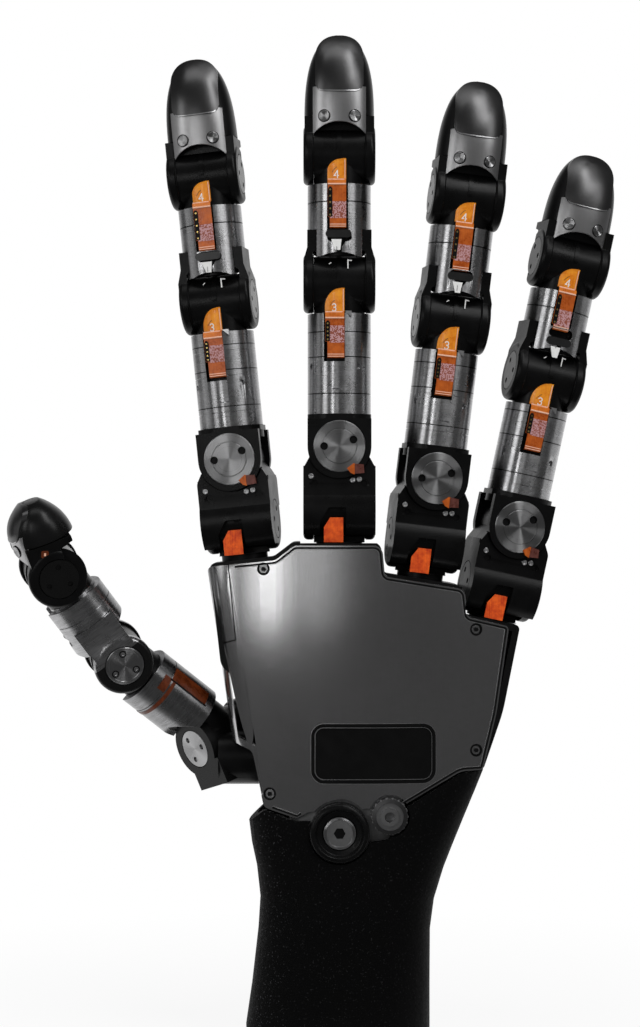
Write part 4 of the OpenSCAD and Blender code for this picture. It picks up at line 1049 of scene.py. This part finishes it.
# painted shade: the dark seat rings round the shell's screws and the dark hexagons on them stand for the shade
# in the counterbores and sockets
SCREW_SEAT_SHADE = [(1.16, -0.2), (1.62, -0.2), (1.66, 0.04), (1.55, 0.09), (1.22, 0.03), (1.16, -0.05)]
SOCKET_SHADE = [(AXIS, 0.1), (0.6, 0.1), (0.6, 0.33), (0.5, 0.34), (AXIS, 0.33)]
for k, (x, z) in enumerate(((-19.5, 123.2), (35.2, 107.6), (-17.9, 65.6), (35.2, 76.5))):
    q = facing(WORLD, (x, palm_y(x), z), ((x - PALM_X) / ARCH_R, -1, 0))
    piece(f"palm_screw_seat_shade_{k}", lathe(SCREW_SEAT_SHADE, 48), q, "palm", "plastic")
    piece(f"palm_screw_socket_shade_{k}", lathe(SOCKET_SHADE, 6), q, "palm", "plastic_matt")


# ---------- stage, light, camera ----------
def world():
    """White for the camera. Gloss and glass see the white backdrop behind and the dim room in front."""
    w = bpy.data.worlds.new("studio")
    scene.world = w
    w.use_nodes = True
    t = Tree(w.node_tree)
    t.tree.nodes.clear()
    path = t.add("ShaderNodeLightPath").outputs
    at = t.add("ShaderNodeSeparateXYZ", Vector=t.add("ShaderNodeTexCoord").outputs["Generated"]).outputs
    lean = t.math("MULTIPLY_ADD", at["X"], 0.12, at["Y"])
    seen = t.math("MAXIMUM", path["Is Glossy Ray"], path["Is Transmission Ray"])
    room = t.blend(seen, 0.5, t.spread(lean, 0.5, 1.0, 0.068, 0.85))
    light = t.add("ShaderNodeBackground", Color=(1, 1, 1, 1), Strength=t.blend(path["Is Camera Ray"], room, 1.0))
    t.add("ShaderNodeOutputWorld", Surface=light.outputs[0])


MIDDLE = Vector((-0.005, 0.0, 0.1374))


def softbox(name, azimuth, elevation, distance, size, radiance):
    """A soft lamp of a given brightness, seen from the hand at an azimuth (right is positive) and elevation."""
    a, e = math.radians(azimuth), math.radians(elevation)
    light = bpy.data.lights.new(name, "AREA")
    light.shape = "RECTANGLE"
    light.size, light.size_y = size
    light.energy = radiance * math.pi * size[0] * size[1]
    o = bpy.data.objects.new(name, light)
    scene.collection.objects.link(o)
    way = Vector((math.sin(a) * math.cos(e), -math.cos(a) * math.cos(e), math.sin(e)))
    o.location = MIDDLE + distance * way
    o.rotation_mode = "QUATERNION"
    o.rotation_quaternion = (MIDDLE - o.location).to_track_quat("-Z", "Y")


world()
for name, *values in (("left", -54, 15, 0.95, (0.26, 0.42), 2.2), ("edge", -24, 10, 0.95, (0.12, 0.33), 3.6),
                      ("front", -9, 9, 0.95, (0.2, 0.3), 0.6), ("right", 50, 26, 0.95, (0.3, 0.42), 2.0),
                      ("top", -8, 70, 0.9, (0.9, 0.3), 1.2), ("high", 34, 47, 0.95, (0.22, 0.62), 5.0),
                      ("side", -88, 8, 0.95, (0.5, 0.5), 0.3)):
    softbox(name + "_softbox", *values)


def floor():
    """A plain pale floor from just in front of the flange to far behind it. The camera, gloss and glass see it
    white, wholly so near its edges; nearer the hand it keeps the shadow."""
    n = Nodes("pale_floor")
    n.finish(Base_Color=n.mix(n.noise(30.0), grey(0.86), grey(0.9)), Roughness=0.7)
    share = n.spread(n.vector("LENGTH", n.at), 0.06, 0.22, 0.88, 1.0)
    path = n.add("ShaderNodeLightPath").outputs
    seen = n.math("MAXIMUM", path["Is Camera Ray"],
                  n.math("MAXIMUM", path["Is Glossy Ray"], path["Is Transmission Ray"]))
    white = n.add("ShaderNodeEmission", Color=(1, 1, 1, 1), Strength=1.0)
    both = n.add("ShaderNodeMixShader", Fac=n.math("MULTIPLY", seen, share))
    n.set(both, 1, n.shader.outputs[0])
    n.set(both, 2, white.outputs[0])
    n.set(n.tree.nodes["Material Output"], "Surface", both.outputs[0])
    data = bpy.data.meshes.new("floor")
    outline = round_box(0, 0.625, 1.7, 1.3, 0.1)
    data.from_pydata([(x, y, CAD_LOW.z - 0.0005) for x, y in outline], [], [list(range(len(outline)))])
    o = bpy.data.objects.new("floor", data)
    scene.collection.objects.link(o)
    data.materials.append(n.mat)
    o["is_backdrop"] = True


floor()
DISTANCE = 0.65
VIEW_HEIGHT = 1027 * 0.26 * MM  # the photograph's rows, at 0.26 mm each
cam = bpy.data.cameras.new("camera")
cam_object = bpy.data.objects.new("camera", cam)
scene.collection.objects.link(cam_object)
scene.camera = cam_object
cam.sensor_width = 36.0
cam.lens = 36.0 * DISTANCE / VIEW_HEIGHT
cam.clip_start, cam.clip_end = 0.01, 20.0
cam_object.location = (MIDDLE.x, -DISTANCE, MIDDLE.z)
cam_object.rotation_euler = (math.pi / 2, 0, 0)
scene.view_settings.view_transform = "Standard"

low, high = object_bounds()
